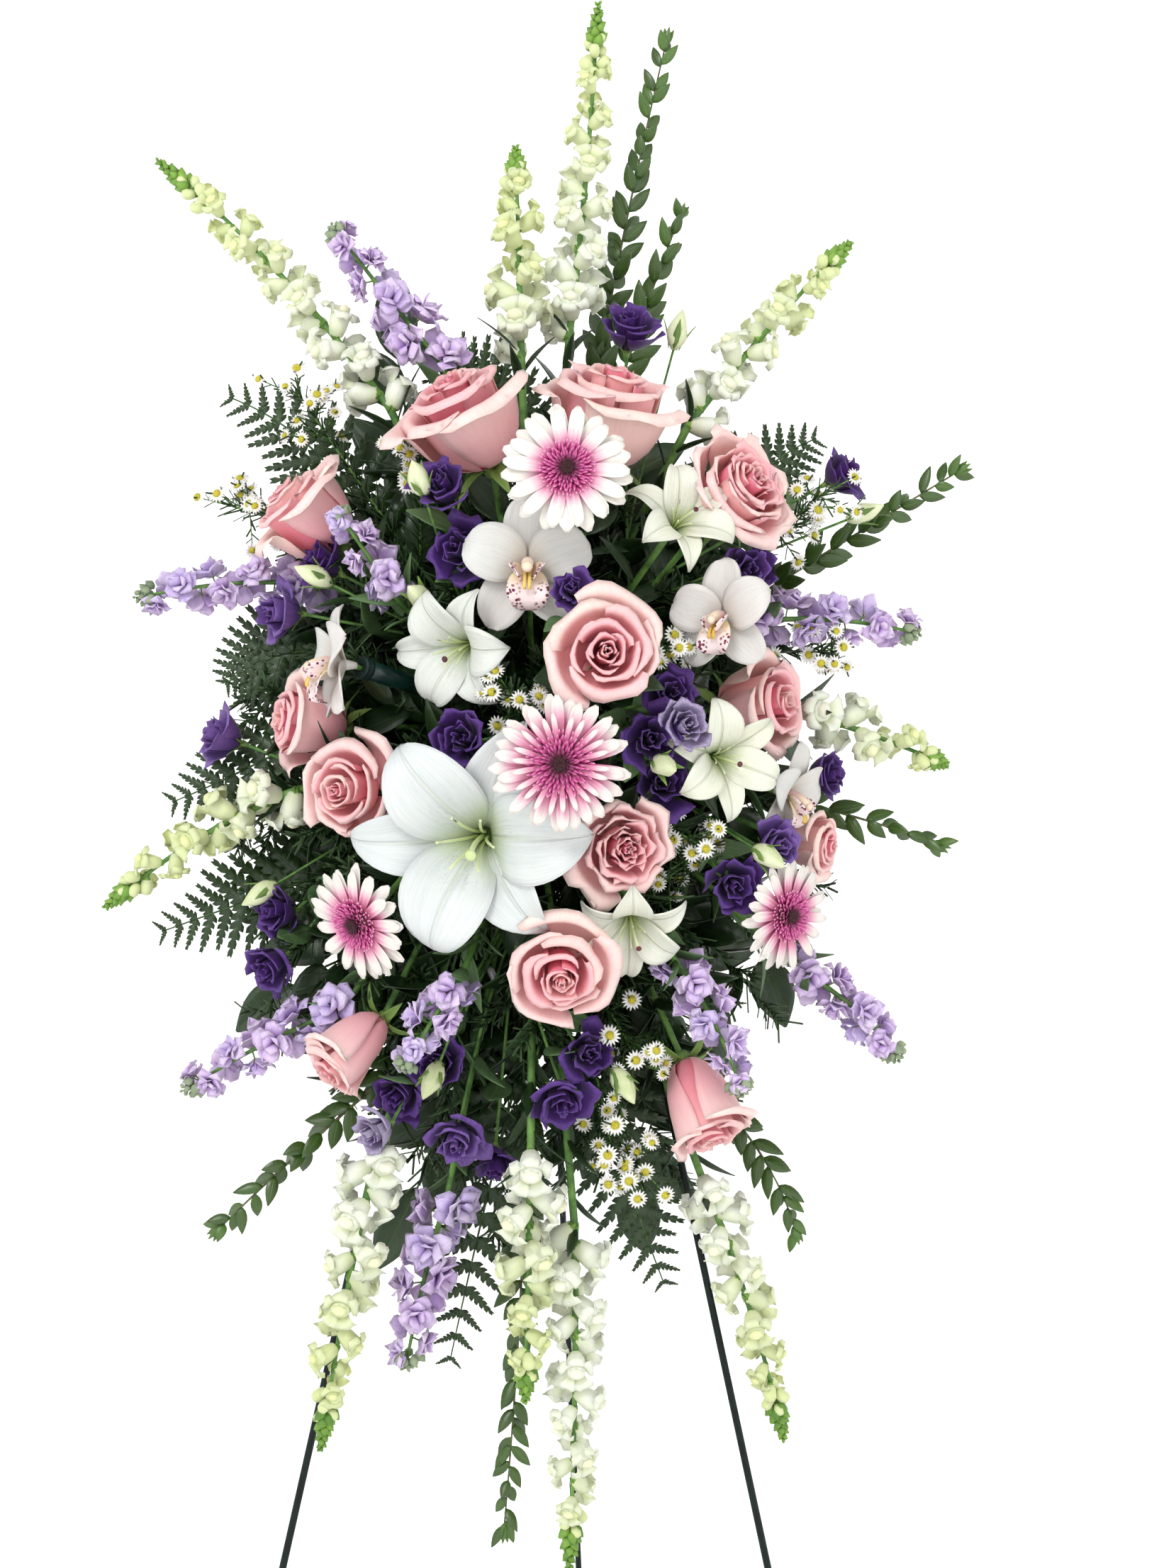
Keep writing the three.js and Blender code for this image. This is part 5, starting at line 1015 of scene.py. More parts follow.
def orchid_head(bunch, origin, facing, size, rng):
    """Tepals, the lip's three lobes, its ridges and the column."""
    back = [(0.06, -0.18), (0.2, -0.08), (0.52, 0.02), (0.86, 0.0), (0.98, -0.1)]
    front = [(0.06, -0.12), (0.2, 0.04), (0.52, 0.22), (0.86, 0.2), (0.98, 0.02)]
    for turn, controls, width in (([0, 2.42, -2.42], back, 0.36), ([1.18, -1.18], front, 0.42)):
        sheets = tepals(np.pi / 2 + np.array(turn), controls, width, rng, 14, 9, 0.06, 0.03, 0.5, 0.95)
        bunch.add(placed(sheet_rings(sheets, 0.0014 / size), origin, facing, size), "orchid_tepal")
    middle = [(0.04, 0.0), (0.18, 0.26), (0.4, 0.4), (0.62, 0.32), (0.6, 0.06)]
    sheet = tepals([-np.pi / 2], middle, 0.3, rng, 14, 9, 0.05, 0.08, 0.45)
    bunch.add(placed(sheet_rings(sheet, 0.0012 / size), origin, facing, size), "orchid_lip")
    lobe = [(0.05, 0.0), (0.16, 0.16), (0.24, 0.34), (0.2, 0.48)]
    sheet = tepals([-np.pi / 2 + 0.95, -np.pi / 2 - 0.95], lobe, 0.17, rng, 9, 7, 0.02, 0.02, 0.45)
    bunch.add(placed(sheet_rings(sheet, 0.0012 / size), origin, facing, size), "orchid_lip")
    s = np.linspace(0, 1, 8)[:, None]
    for x in (-0.035, 0.035):
        ridge = np.concatenate([x + 0 * s, -0.08 - 0.3 * s, 0.15 + 0.28 * np.sin(1.9 * s)], -1)
        bunch.add(placed(tube_rings(ridge[None], 0.026), origin, facing, size), "orchid_callus")
    column = np.concatenate([0 * s, 0.05 - 0.1 * s**2, -0.05 + 0.47 * s], -1)
    radius = 0.07 + 0.02 * np.sin(np.pi * s[:, 0])
    bunch.add(placed(tube_rings(column[None], radius, 12), origin, facing, size), "orchid_column")
    cap = turned_rings([(0.01, -0.05), (0.08, -0.02), (0.085, 0.01), (0.055, 0.05), (0.005, 0.06)], 12)
    bunch.add(placed(cap + [0, -0.06, 0.42], origin, facing, size), "orchid_column")
    foot = turned_rings([(0.05, -0.36), (0.07, -0.28), (0.1, -0.14), (0.08, -0.05), (0.01, -0.02)], 12)
    bunch.add(placed(foot, origin, facing, size), "orchid_tepal")


ORCHIDS = [
    ("orchid_top", 55, (4, 145, 120), (0, 1, 0.05)),
    ("orchid_right", 46, (155, 145, 80), (-0.45, 0.9, 0)),
    ("orchid_left", 50, (-150, 120, 45), (-0.95, 0.3, 0.05)),
    ("orchid_low_right", 44, (215, 80, -60), (0.78, 0.5, -0.3)),
]
for name, size, place, facing in ORCHIDS:
    single(name, size, place, facing, 0, -0.34, 2.2, orchid_head)

# %% [markdown]
# The left orchid's stem stands in a water tube, with a rubber cap round its mouth and a pick below. The
# solid is eight-sided, so a turned profile along the same line makes it round. The line runs from the foam
# to the orchid's neck, five millimetres short of it.

# %% Water tube
TUBE_FOOT = stem_start("orchid_water_tube")


def water_tube():
    """The pick, the tapered tube and the ribbed cap, as profiles turned round the stem's line."""
    neck = spot((-150, 120, 45)) + way((-0.95, 0.3, 0.05)) * -0.34 * 0.05
    line = unit(neck - TUBE_FOOT)
    long = np.linalg.norm(neck - TUBE_FOOT) - 0.005
    foot = long - 0.062
    body = [(0.0004, 0.0), (0.0025, 0.001), (0.0025, foot - 0.006), (0.0078, foot), (0.0078, long - 0.006),
            (0.0032, long - 0.003), (0.0028, long - 0.02)]
    cap = [(0.0079, long - 0.0085), (0.0095, long - 0.008), (0.0088, long - 0.006), (0.0095, long - 0.004),
           (0.0088, long - 0.002), (0.0095, long - 0.001), (0.0085, long), (0.0034, long),
           (0.003, long - 0.004)]
    bunch = Bunch()
    for profile, finish in ((body, "tube_plastic"), (cap, "tube_cap")):
        bunch.add(placed(turned_rings(profile, 32), TUBE_FOOT, line, 1.0), finish)
    return make_piece("orchid_tube", bunch, "stand", ["orchid_water_tube"])


water_tube()
print("tube foot:", TUBE_FOOT.round(3))

# %% [markdown]
# Double lisianthus looks like a loose small rose: a short spiral of thin ruffled petals on a wiry stem, with
# narrow sepals. The sprays branch, and long buds stand between the blooms. The branches leave the main stem
# evenly spread along its last half.

# %% Lisianthus


def lisianthus_head(bunch, origin, facing, size, rng, tone):
    """A short spiral of ruffled cups, and five thread-like sepals below."""
    count = 10
    q = np.linspace(0, 1, count)
    angles = rng.random() * 6 + GOLDEN * np.arange(count) + rng.normal(0, 0.2, count)
    rim = 0.08 + 0.8 * (1 - q) ** 1.05 * rng.uniform(0.88, 1.06, count)
    high = 0.2 + 0.4 * (1 - (1 - q) ** 1.6) + rng.normal(0, 0.07, count)
    curl = 0.2 * (1 - q) * rng.uniform(0.0, 1.4, count) + 0.01
    controls = [(0.06 + 0 * q, -0.5 + 0 * q), (0.1 + 0.3 * rim, -0.4 + 0 * q),
                (0.08 + 0.8 * rim, -0.2 + 0.2 * high),
                (0.04 + 0.88 * rim, 0.7 * high), (rim, high + 0.06), (rim + curl, high - 0.3 * curl)]
    sheets = cup_petals(angles, controls, 0.85 + 0.6 * q, 0.1 * (1 - 0.6 * q), 2.3, rng.random(count) * 6,
                        0.12, 8, 9, 0.12, 0.025)
    shade = np.clip(tone + rng.normal(0, 0.03, count), 0, 1)
    bunch.add(placed(sheet_rings(sheets, 0.0006 / size), origin, facing, size), "lisianthus_petal",
              layer=q, tone=shade)
    angle = np.arange(5) * 2 * np.pi / 5
    round_way = np.stack([np.cos(angle), np.sin(angle), 0 * angle], -1)
    threads = set_leaves(leaf_sheets(np.full(5, 0.65), 0.04, 6, 3), round_way * 0.06 + [0, 0, -0.6],
                         round_way + [0, 0, 1.1], -round_way)
    bunch.add(placed(sheet_rings(threads, 0.0006 / size), origin, facing, size), "sepal")
    foot = turned_rings([(0.045, -0.78), (0.08, -0.68), (0.1, -0.55), (0.06, -0.44), (0.01, -0.42)], 8)
    bunch.add(placed(foot, origin, facing, size), "sepal")


def long_bud(bunch, start, tip, long, radius, finish, stalk_finish="stem_green"):
    """A pointed bud with twisted folds on a thin stalk: a turned profile whose folds follow cos(3 a)."""
    line = unit(tip - start)
    foot = tip - line * long
    share = np.linspace(0, 1, 9)
    profile = np.stack([radius * np.sin(np.pi * np.clip(share, 0.03, 0.985) ** 0.75) ** 0.8,
                        share * long], -1)
    rings = turned_rings(profile, 12)
    angle = (np.arange(12) + 0.5) / 12 * 2 * np.pi
    folds = 1 + 0.1 * np.cos(3 * angle[None, :] + 5 * share[:, None])
    rings[..., :2] *= folds[..., None]
    bunch.add(placed(rings, foot, line, 1.0), finish)
    stalk(bunch, start, foot + line * 0.001, 0.0011, stalk_finish, around=6, steps=6, bow=0.003)
    angle = np.arange(4) * np.pi / 2
    round_way = np.stack([np.cos(angle), np.sin(angle), 0 * angle], -1)
    leaves = set_leaves(leaf_sheets(np.full(4, long * 0.75), radius * 0.35, 5, 3), round_way * radius * 0.5,
                        round_way * 0.3 + [0, 0, 1.0], -round_way)
    bunch.add(placed(sheet_rings(leaves, 0.0005), foot, line, 1.0), "sepal")


LISIANTHUS_SPRAYS = [
    # name, fork, blooms as (radius, spot, facing, shade), spots of the buds' tips
    ("lisianthus_upper_left", (-45, 45, 75), [
        (24, (-62, 142, 182), (-0.3, 0.8, 0.4), 0.3), (25, (-50, 120, 135), (-0.3, 0.9, 0.1), 0.1),
        (24, (-165, 70, 130), (-0.7, 0.5, 0.4), 0.2), (24, (-200, 60, 90), (-0.8, 0.5, 0), 0.8)],
        [(-85, 165, 200), (-90, 140, 105), (-185, 95, 125)]),
    ("lisianthus_top_right", (85, 30, 110), [
        (26, (85, 45, 325), (0.1, 0.6, 0.8), 0.1), (22, (265, 10, 210), (0.8, 0.4, 0.4), 0.4),
        (24, (178, 100, 120), (0.3, 0.9, 0.1), 0.7)],
        [(130, 30, 345), (300, 10, 185)]),
    ("lisianthus_centre", (50, 60, 0), [
        (15.5, (39, 176, 99), (-0.1, 1, 0.2), 0.65), (25, (-45, 160, -15), (-0.2, 0.9, 0.1), 0.1),
        (24, (100, 160, -15), (0.1, 1, 0), 0.2), (22, (115, 140, 20), (0.2, 0.9, 0.2), 0.3),
        (22, (108, 134, -50), (0.2, 1, 0.1), 0.4), (20, (126, 168, -4), (0.3, 0.9, 0.1), 1.0)],
        [(118, 185, -40)]),
    ("lisianthus_right", (110, 40, -50), [
        (22, (248, 36, -42), (0.8, 0.5, 0.1), 0.3), (24, (165, 120, -130), (0.2, 0.9, -0.2), 0.1),
        (22, (200, 110, -100), (0.5, 0.8, 0.1), 0.8)],
        [(205, 140, -115)]),
    ("lisianthus_left", (-105, 10, -70), [
        (24, (-255, 20, -10), (-0.8, 0.4, 0.3), 0.84), (23, (-205, 40, -155), (-0.6, 0.7, 0), 0.2),
        (23, (-210, 45, -200), (-0.5, 0.7, -0.4), 0.2)],
        [(-235, 45, -150)]),
    ("lisianthus_low", (-10, 45, -175), [
        (25, (30, 110, -300), (0.1, 0.8, -0.5), 0.2), (22, (50, 105, -265), (0.3, 0.9, 0), 0.1),
        (24, (-55, 95, -335), (-0.1, 0.8, -0.5), 0.75), (24, (-100, 85, -300), (-0.4, 0.8, -0.3), 0.4),
        (22, (-70, 90, -275), (-0.2, 0.9, 0), 0.3), (20, (-118, 105, -328), (-0.6, 0.6, -0.3), 1.0),
        (20, (-25, 60, -360), (0, 0.6, -0.8), 0.5)],
        [(88, 110, -305), (-80, 120, -300)]),
]


def lisianthus_spray(name, fork, blooms, buds):
    """One main stem whose branches carry the blooms and buds of the plan."""
    rng = np.random.default_rng(sum(name.encode()))
    bunch = Bunch()
    start, split = stem_start(name), spot(fork)
    stalk(bunch, start, split, 0.0022, "stem_green")
    branches = len(blooms) + len(buds)
    for i, (size, place, facing, tone) in enumerate(blooms):
        axis = way(facing)
        origin = spot(place) - axis * 0.1 * size * MM
        joint = start + (split - start) * (1 - 0.5 * i / branches)
        neck = origin - axis * 0.75 * size * MM
        stalk(bunch, joint, neck, 0.0014, "stem_green", bow=0.004, steps=7)
        lisianthus_head(bunch, origin, axis, 1.17 * size * MM, rng, tone)
        neck_leaves(bunch, joint, neck, rng, "grey_leaf", 2, 0.045, 0.012)
    for i, tip in enumerate(buds):
        joint = start + (split - start) * (1 - 0.5 * (len(blooms) + i) / branches)
        long_bud(bunch, joint, spot(tip), 0.034, 0.0085, "pale_bud")
    return make_piece(name + "_spray", bunch, "stand", [name])


for row in LISIANTHUS_SPRAYS:
    lisianthus_spray(*row)

# %% [markdown]
# Stock and snapdragon are spikes: florets sit all round a stem, each a golden angle on from the last, large
# at the bottom and buds at the tip. Each floret that is worked out is copied to a few places on the spike
# as arrays, which keeps hundreds of petals cheap. A stock floret is a loose rosette, three whorls of round
# petals on narrow claws. A snapdragon floret is a pouch with two lobes turned up, three turned down and a
# swollen palate that shuts its mouth.

# %% Spikes of stock and snapdragon


def stock_floret(rng):
    """Three whorls of round petals on narrow claws."""
    whorls = [
        ([(0.05, -0.3), (0.3, 0.0), (0.75, 0.2), (1.0, -0.05)], 4, 0.44, 0.0),
        ([(0.05, -0.2), (0.22, 0.15), (0.5, 0.42), (0.82, 0.35)], 4, 0.4, 0.5),
        ([(0.04, -0.1), (0.1, 0.25), (0.24, 0.55), (0.42, 0.5)], 3, 0.32, 1.0),
    ]
    sheets = []
    for controls, count, width, layer in whorls:
        angles = rng.random() * 6 + np.arange(count) * 2 * np.pi / count + rng.normal(0, 0.2, count)
        sheets.append(tepals(angles, controls, width, rng, 5, 4, -0.1, 0.25, 0.5, 1.5, 0.12))
    return np.concatenate(sheets), np.repeat([0.0, 0.5, 1.0], [4, 4, 3])


def snapdragon_lips(rng):
    """Two upper lobes that roll back and three lower lobes that droop, round the mouth of the tube."""
    upper = [(0.4, -0.3), (0.52, 0.1), (0.48, 0.5), (0.75, 0.75), (1.05, 0.6), (1.05, 0.3)]
    lower = [(0.4, -0.3), (0.54, 0.05), (0.62, 0.4), (0.92, 0.3), (0.95, -0.15)]
    two = cup_petals(np.array([1.0, 2.14]), [(np.full(2, r), np.full(2, z)) for r, z in upper],
                     0.72, 0.1, 2.2,
                     rng.random(2) * 6, 0.04, 6, 5, 0.25)
    three = cup_petals(np.array([-1.57, -0.5, 3.64]), [(np.full(3, r), np.full(3, z)) for r, z in lower],
                       0.62,
                       0.09, 2.4, rng.random(3) * 6, 0.04, 6, 5, 0.25)
    return np.concatenate([two, three])


TUBE_PROFILE = [(0.14, -1.15), (0.36, -1.0), (0.48, -0.6), (0.54, -0.1), (0.46, 0.25), (0.03, 0.32)]
PALATE_PROFILE = [(0.03, -0.2), (0.3, -0.05), (0.3, 0.2), (0.03, 0.34)]
BUD_PROFILE = [(0.03, -0.6), (0.36, -0.45), (0.48, -0.1), (0.5, 0.3), (0.34, 0.62), (0.03, 0.7)]


def spike_places(curve, count, first, last, phase=0.0):
    """Points along a spike and the ways out of it, each a golden angle on."""
    t = np.linspace(first, last, count)
    points = bezier(curve, t)
    along = unit(bezier(curve, np.clip(t + 0.01, 0, 1)) - bezier(curve, np.clip(t - 0.01, 0, 1)))
    x = unit(np.cross(along, np.array([0.15, 0.25, 1.0])))
    y = np.cross(along, x)
    angle = phase + np.arange(count) * GOLDEN
    out = np.cos(angle)[:, None] * x + np.sin(angle)[:, None] * y
    return t, points, along, out


def spike_curve(first, bow, last):
    """Start, bend and tip of a spike as plan spots: the bend is the middle moved by the bow."""
    start, end = spot(first), spot(last)
    across, out, up = bow
    return [start, (start + end) / 2 + np.array([across, -out, up]) * MM, end]


def calyx(bunch, origins, facings, sizes, foot, finish, long=0.5):
    """Four sepals that hold each floret's foot."""
    angle = np.arange(4) * 2 * np.pi / 4
    round_way = np.stack([np.cos(angle), np.sin(angle), 0 * angle], -1)
    sheets = set_leaves(leaf_sheets(np.full(4, long), 0.2, 4, 3, 0.1, -0.15, 0.8),
                        round_way * 0.1 + [0, 0, foot],
                        round_way * 0.6 + [0, 0, 1.0], -round_way)
    bunch.add(placed(sheet_rings(sheets, 0.04), origins, facings, sizes), finish)


def spike(name, first, bow, last, kind, green=0.0):
    """A stem with florets, closed florets and buds: their size falls towards the tip as the solid's does."""
    rng = np.random.default_rng(sum(name.encode()))
    curve = spike_curve(first, bow, last)
    length = np.linalg.norm(curve[2] - curve[0])
    levels = 5 if length > 0.27 else 4
    fit = min(1.0, length / levels / 0.034)
    bunch = Bunch()
    start = stem_start(name)
    stem = np.concatenate([start + (curve[0] - start) * np.linspace(0, 0.97, 6)[:, None],
                           bezier(curve, np.linspace(0.01, 0.985, 16))])
    stock = kind == "stock"
    thick = 0.0026 if stock else 0.0034
    widths = np.concatenate([np.full(6, thick), np.linspace(thick, 0.0012, 16)])
    bunch.add(tube_rings(stem, widths, 8), "stem_green")
    share = 0.88 if stock else 0.77
    spacing = (0.0108 if stock else 0.0135) * max(fit, 0.85)
    count = int(length * share / spacing)
    t, points, along, out = spike_places(curve, count, 0.0, share, rng.random() * 6)
    size = max(fit, 0.85) * (1 - 0.38 * (t / share) ** 2.2) * rng.uniform(0.88, 1.08, count)
    facing = unit(out + along * ((0.25 if stock else 0.75) + rng.normal(0, 0.1, (count, 1))))
    if stock:
        radius = 0.0207 * size
        origins = points + facing * (0.0152 * size)[:, None]
        for i in range(0, count, 3):
            head, layers = stock_floret(rng)
            some = slice(i, i + 3)
            rings = placed(sheet_rings(head, 0.04), origins[some], facing[some], radius[some],
                           rng.random(len(t[some])) * 6)
            copies = len(t[some])
            bunch.add(rings, "stock_petal", layer=np.tile(layers, copies),
                      mark=np.repeat(rng.random(copies), len(head)))
        twig = np.stack([points, points + (origins - points) * 0.5,
                         origins - facing * radius[:, None] * 0.2], 1)
        bunch.add(tube_rings(twig, 0.0008, 4), "stem_green")
    else:
        radius = 0.0182 * size
        origins = points + facing * (0.0205 * size)[:, None]
        age = np.clip(green + t / share * 0.9, 0, 1)
        for i in range(0, count, 4):
            some = slice(i, i + 4)
            head = snapdragon_lips(rng)
            rings = placed(sheet_rings(head, 0.045), origins[some], facing[some],
                           radius[some], 0.0, along[some])
            bunch.add(rings, "snapdragon_petal", layer=np.repeat(age[some], len(head)))
        bunch.add(placed(turned_rings(TUBE_PROFILE, 8), origins, facing, radius), "snapdragon_petal",
                  layer=age, tone=0.5)
        palate = turned_rings(PALATE_PROFILE, 6) * [1.3, 1.0, 1.0] + [0, -0.16, 0.28]
        bunch.add(placed(palate, origins, facing, radius, 0.0, along), "snapdragon_palate", layer=age)
        calyx(bunch, origins, facing, radius, -1.3, "tip_bud", 0.75)
        # Closed florets stand between the open ones and the buds.
        t, points, along, out = spike_places(curve, 7, share, share + 0.09, 1.0)
        facing = unit(out + along * 0.9)
        small = np.linspace(0.0115, 0.0075, 7) * max(fit, 0.85)
        bunch.add(placed(turned_rings(BUD_PROFILE, 8), points + facing * small[:, None] * 0.9, facing, small),
                  "snapdragon_petal", layer=1.0)
        calyx(bunch, points + facing * small[:, None] * 0.9, facing, small, -0.8, "tip_bud", 0.7)
    # Buds crowd the tip, smaller and smaller.
    buds = 18 if stock else 26
    t, points, along, out = spike_places(curve, buds, share if stock else share + 0.08, 0.985)
    shrink = 1 - 0.7 * np.linspace(0, 1, buds)
    wide = (0.0046 if stock else 0.0052) * shrink * max(fit, 0.8)
    share_of = np.linspace(0, 1, 5)
    profile = np.stack([np.sin(np.pi * np.clip(share_of, 0.04, 0.96) ** 0.8), 2.5 * share_of], -1)
    facing = unit(out + along * 0.8)
    gap = (0.006 if stock else 0.001) * shrink[:, None]
    bunch.add(placed(turned_rings(profile, 6), points + out * gap, facing, wide),
              "stock_bud" if stock else "tip_bud",
              layer=np.linspace(0, 1, buds))
    if not stock:
        bract = set_leaves(leaf_sheets(np.full(buds, 1.0), 0.3, 4, 3, 0.2, -0.1), 0 * points,
                           unit(out + along * 0.7), out)
        bract = bract * (wide[:, None, None, None] * 2.2) + points[:, None, None, :]
        bunch.add(sheet_rings(bract, 0.0005), "tip_bud")
    # Narrow leaves stand below the florets.
    leaves = 9
    s = np.linspace(0.4, 1.0, leaves)
    line = unit(curve[0] - start)
    out = ring_of_ways(line, np.arange(leaves) * GOLDEN)
    sheets = leaf_sheets(rng.uniform(0.035, 0.06, leaves), 0.007 if stock else 0.0045, 8, 3, 0.15, 0.15)
    sheets = set_leaves(sheets, start + (curve[0] - start) * s[:, None],
                        unit(out * 0.8 + line), np.tile(line, (leaves, 1)))
    bunch.add(sheet_rings(sheets, 0.0006), "grey_leaf" if stock else "broad_leaf")
    return make_piece(name + "_spike", bunch, "stand", [name])


STOCKS = [
    ("stock_top_left", (-70, 20, 300), (-10, 0, 10), (-165, 15, 420)),
    ("stock_middle_left", (-100, 90, 95), (0, 5, 0), (-150, 115, 170)),
    ("stock_far_left", (-160, 30, 115), (0, 0, 15), (-330, 20, 105)),
    ("stock_far_right", (190, 40, 85), (0, 0, 12), (330, 25, 75)),
    ("stock_centre_low", (-50, 130, -205), (0, 5, 5), (-95, 145, -275)),
    ("stock_lower_left", (-150, 60, -235), (0, 0, 10), (-285, 45, -305)),
    ("stock_lower_right", (120, 105, -190), (10, 5, 5), (175, 110, -300)),
    ("stock_right", (220, 50, -200), (10, 0, 10), (310, 40, -280)),
    ("stock_bottom", (-65, 55, -390), (-5, 5, 0), (-100, 45, -535)),
]
# The last number of a snapdragon is how green its florets still are.
SNAPDRAGONS = [
    ("snapdragon_top", (35, -10, 330), (5, 0, 0), (60, -30, 625), 0.05),
    ("snapdragon_top_left", (-5, 10, 310), (0, 0, 0), (-10, 5, 490), 0.35),
    ("snapdragon_far_top_left", (-115, 10, 265), (5, 0, 25), (-320, -20, 485), 0.1),
    ("snapdragon_top_right", (135, 25, 250), (0, 0, 10), (275, 0, 410), 0.1),
    ("snapdragon_right", (230, 20, 10), (0, 0, 5), (355, 10, -35), 0.1),
    ("snapdragon_left", (-190, 45, -55), (0, 0, 20), (-355, 20, -155), 0.35),
    ("snapdragon_bottom_left", (-120, 75, -345), (-5, 5, 0), (-165, 90, -590), 0.1),
    ("snapdragon_bottom_centre", (5, 100, -345), (0, 8, 0), (0, 75, -555), 0.15),
    ("snapdragon_bottom", (40, 70, -410), (5, 5, 0), (35, 60, -700), -0.3),
    ("snapdragon_bottom_right", (145, 45, -375), (10, 0, 5), (215, 30, -600), 0.1),
]
for row in STOCKS:
    spike(*row, "stock")
for name, first, bow, last, green in SNAPDRAGONS:
    spike(name, first, bow, last, "snapdragon", green)

# %% [markdown]
# Leatherleaf fern has a stiff rib with pairs of pinnae, and each pinna is cut into small toothed lobes. A
# pinna can be one sheet whose half width jumps between lobe and notch from row to row, with the lobes swept
# forward. That keeps its cut outline with few faces, and each side of a frond is one array of pinnae.

# %% Fern fronds


def green_curve(fork, bend, tip):
    """A green's midrib: from the fork towards its bend and on to its tip."""
    return [np.asarray(fork, float), spot(bend), spot(tip)]


def rib_frames(curve, shares):
    """Points, directions and sideways vectors along a midrib whose face looks at the viewer."""
    points = bezier(curve, shares)
    along = unit(bezier(curve, np.clip(shares + 0.01, 0, 1)) - bezier(curve, np.clip(shares - 0.01, 0, 1)))
    side = unit(np.cross(along, np.array([0, -1.0, 0.15])))
    up = unit(np.cross(side, along))
    return points, along, side, up


def pinna_sheets(length, rng, lobes=6):
    """Pinnae along +X in rows of three to a lobe: a notch, a broad row and the lobe's round end. Half
    width = 0.19 length (1 - 0.85 s^1.4) times the row's share, and broad rows lean towards the tip."""
    k = len(length)
    rows = np.append(np.tile([0.0, 0.22, 0.75], lobes) + np.repeat(np.arange(lobes), 3), lobes)
    s = (rows / lobes)[None, :, None]
    t = np.linspace(-1, 1, 3)[None, None, :]
    share = np.append(np.tile([0.38, 0.85, 1.0], lobes), 0.1)[None, :, None]
    m = len(rows)
    width = 0.19 * length[:, None, None] * (1 - 0.85 * s**1.4) * share
    x = length[:, None, None] * (s + np.abs(t) * share * 0.09)
    y = width * t
    z = -0.12 * length[:, None, None] * s**2 + 0.15 * width * np.abs(t) + rng.normal(0, 0.0006, (k, m, 1))
    return np.stack(np.broadcast_arrays(x, y, z), -1)


def fern_frond(bunch, fork, bend, tip, rng, pairs=14, long=0.066, bare=0.2, lobes=6):
    """A frond: a rib, and pairs of pinnae that shorten towards its tip."""
    curve = green_curve(fork, bend, tip)
    bunch.add(tube_rings(bezier(curve, np.linspace(0, 0.99, 14)),
                         np.linspace(0.0018, 0.0006, 14), 6), "stem_dark")
    share = np.linspace(0, 1, pairs)
    points, along, side, up = rib_frames(curve, bare + (1 - bare) * share * 0.985)
    length = long * (0.8 + 0.2 * np.sin(np.pi * np.minimum(share * 2, 1) / 2)) * (1 - share**1.7 * 0.8)
    for hand in (1, -1):
        sheets = pinna_sheets(length * rng.uniform(0.92, 1.08, pairs), rng, lobes)
        direction = unit(side * hand + along * (0.5 + 0.3 * share[:, None])
                         + up * rng.normal(-0.05, 0.12, (pairs, 1)))
        rings = sheet_rings(set_leaves(sheets, points, direction, up), 0.0006)
        free = clear_of_leg(rings)
        bunch.add(rings[free], "fern_leaf", layer=(0.2 + 0.5 * share)[free])

# %% [markdown]
# The long dark leaves are plain broad blades with a midrib, a few to a stem. Myrtle has glossy oval leaves
# in pairs, each pair turned on from the last, with pale young ones at the tip.

# %% Broad leaves and myrtle


def broad_stem(bunch, fork, bend, tip, rng, leaves=6, long=0.075, wide=0.019):
    """A stem with broad blades on both sides and one at its tip."""
    curve = green_curve(fork, bend, tip)
    bunch.add(tube_rings(bezier(curve, np.linspace(0, 0.95, 10)),
                         np.linspace(0.0018, 0.001, 10), 6), "stem_dark")
    share = np.linspace(0.32, 0.93, leaves)
    points, along, side, up = rib_frames(curve, share)
    hand = np.where(np.arange(leaves) % 2, 1.0, -1.0)[:, None]
    hand[-1] = 0.1
    direction = unit(side * hand * 0.8 + along + up * rng.normal(0.1, 0.15, (leaves, 1)))
    sheets = leaf_sheets(long * rng.uniform(0.8, 1.1, leaves), wide, 12, 7, 0.12, 0.12, 0.8)
    rings = sheet_rings(set_leaves(sheets, points, direction, up), 0.0008)
    bunch.add(rings[clear_of_leg(rings)], "broad_leaf")


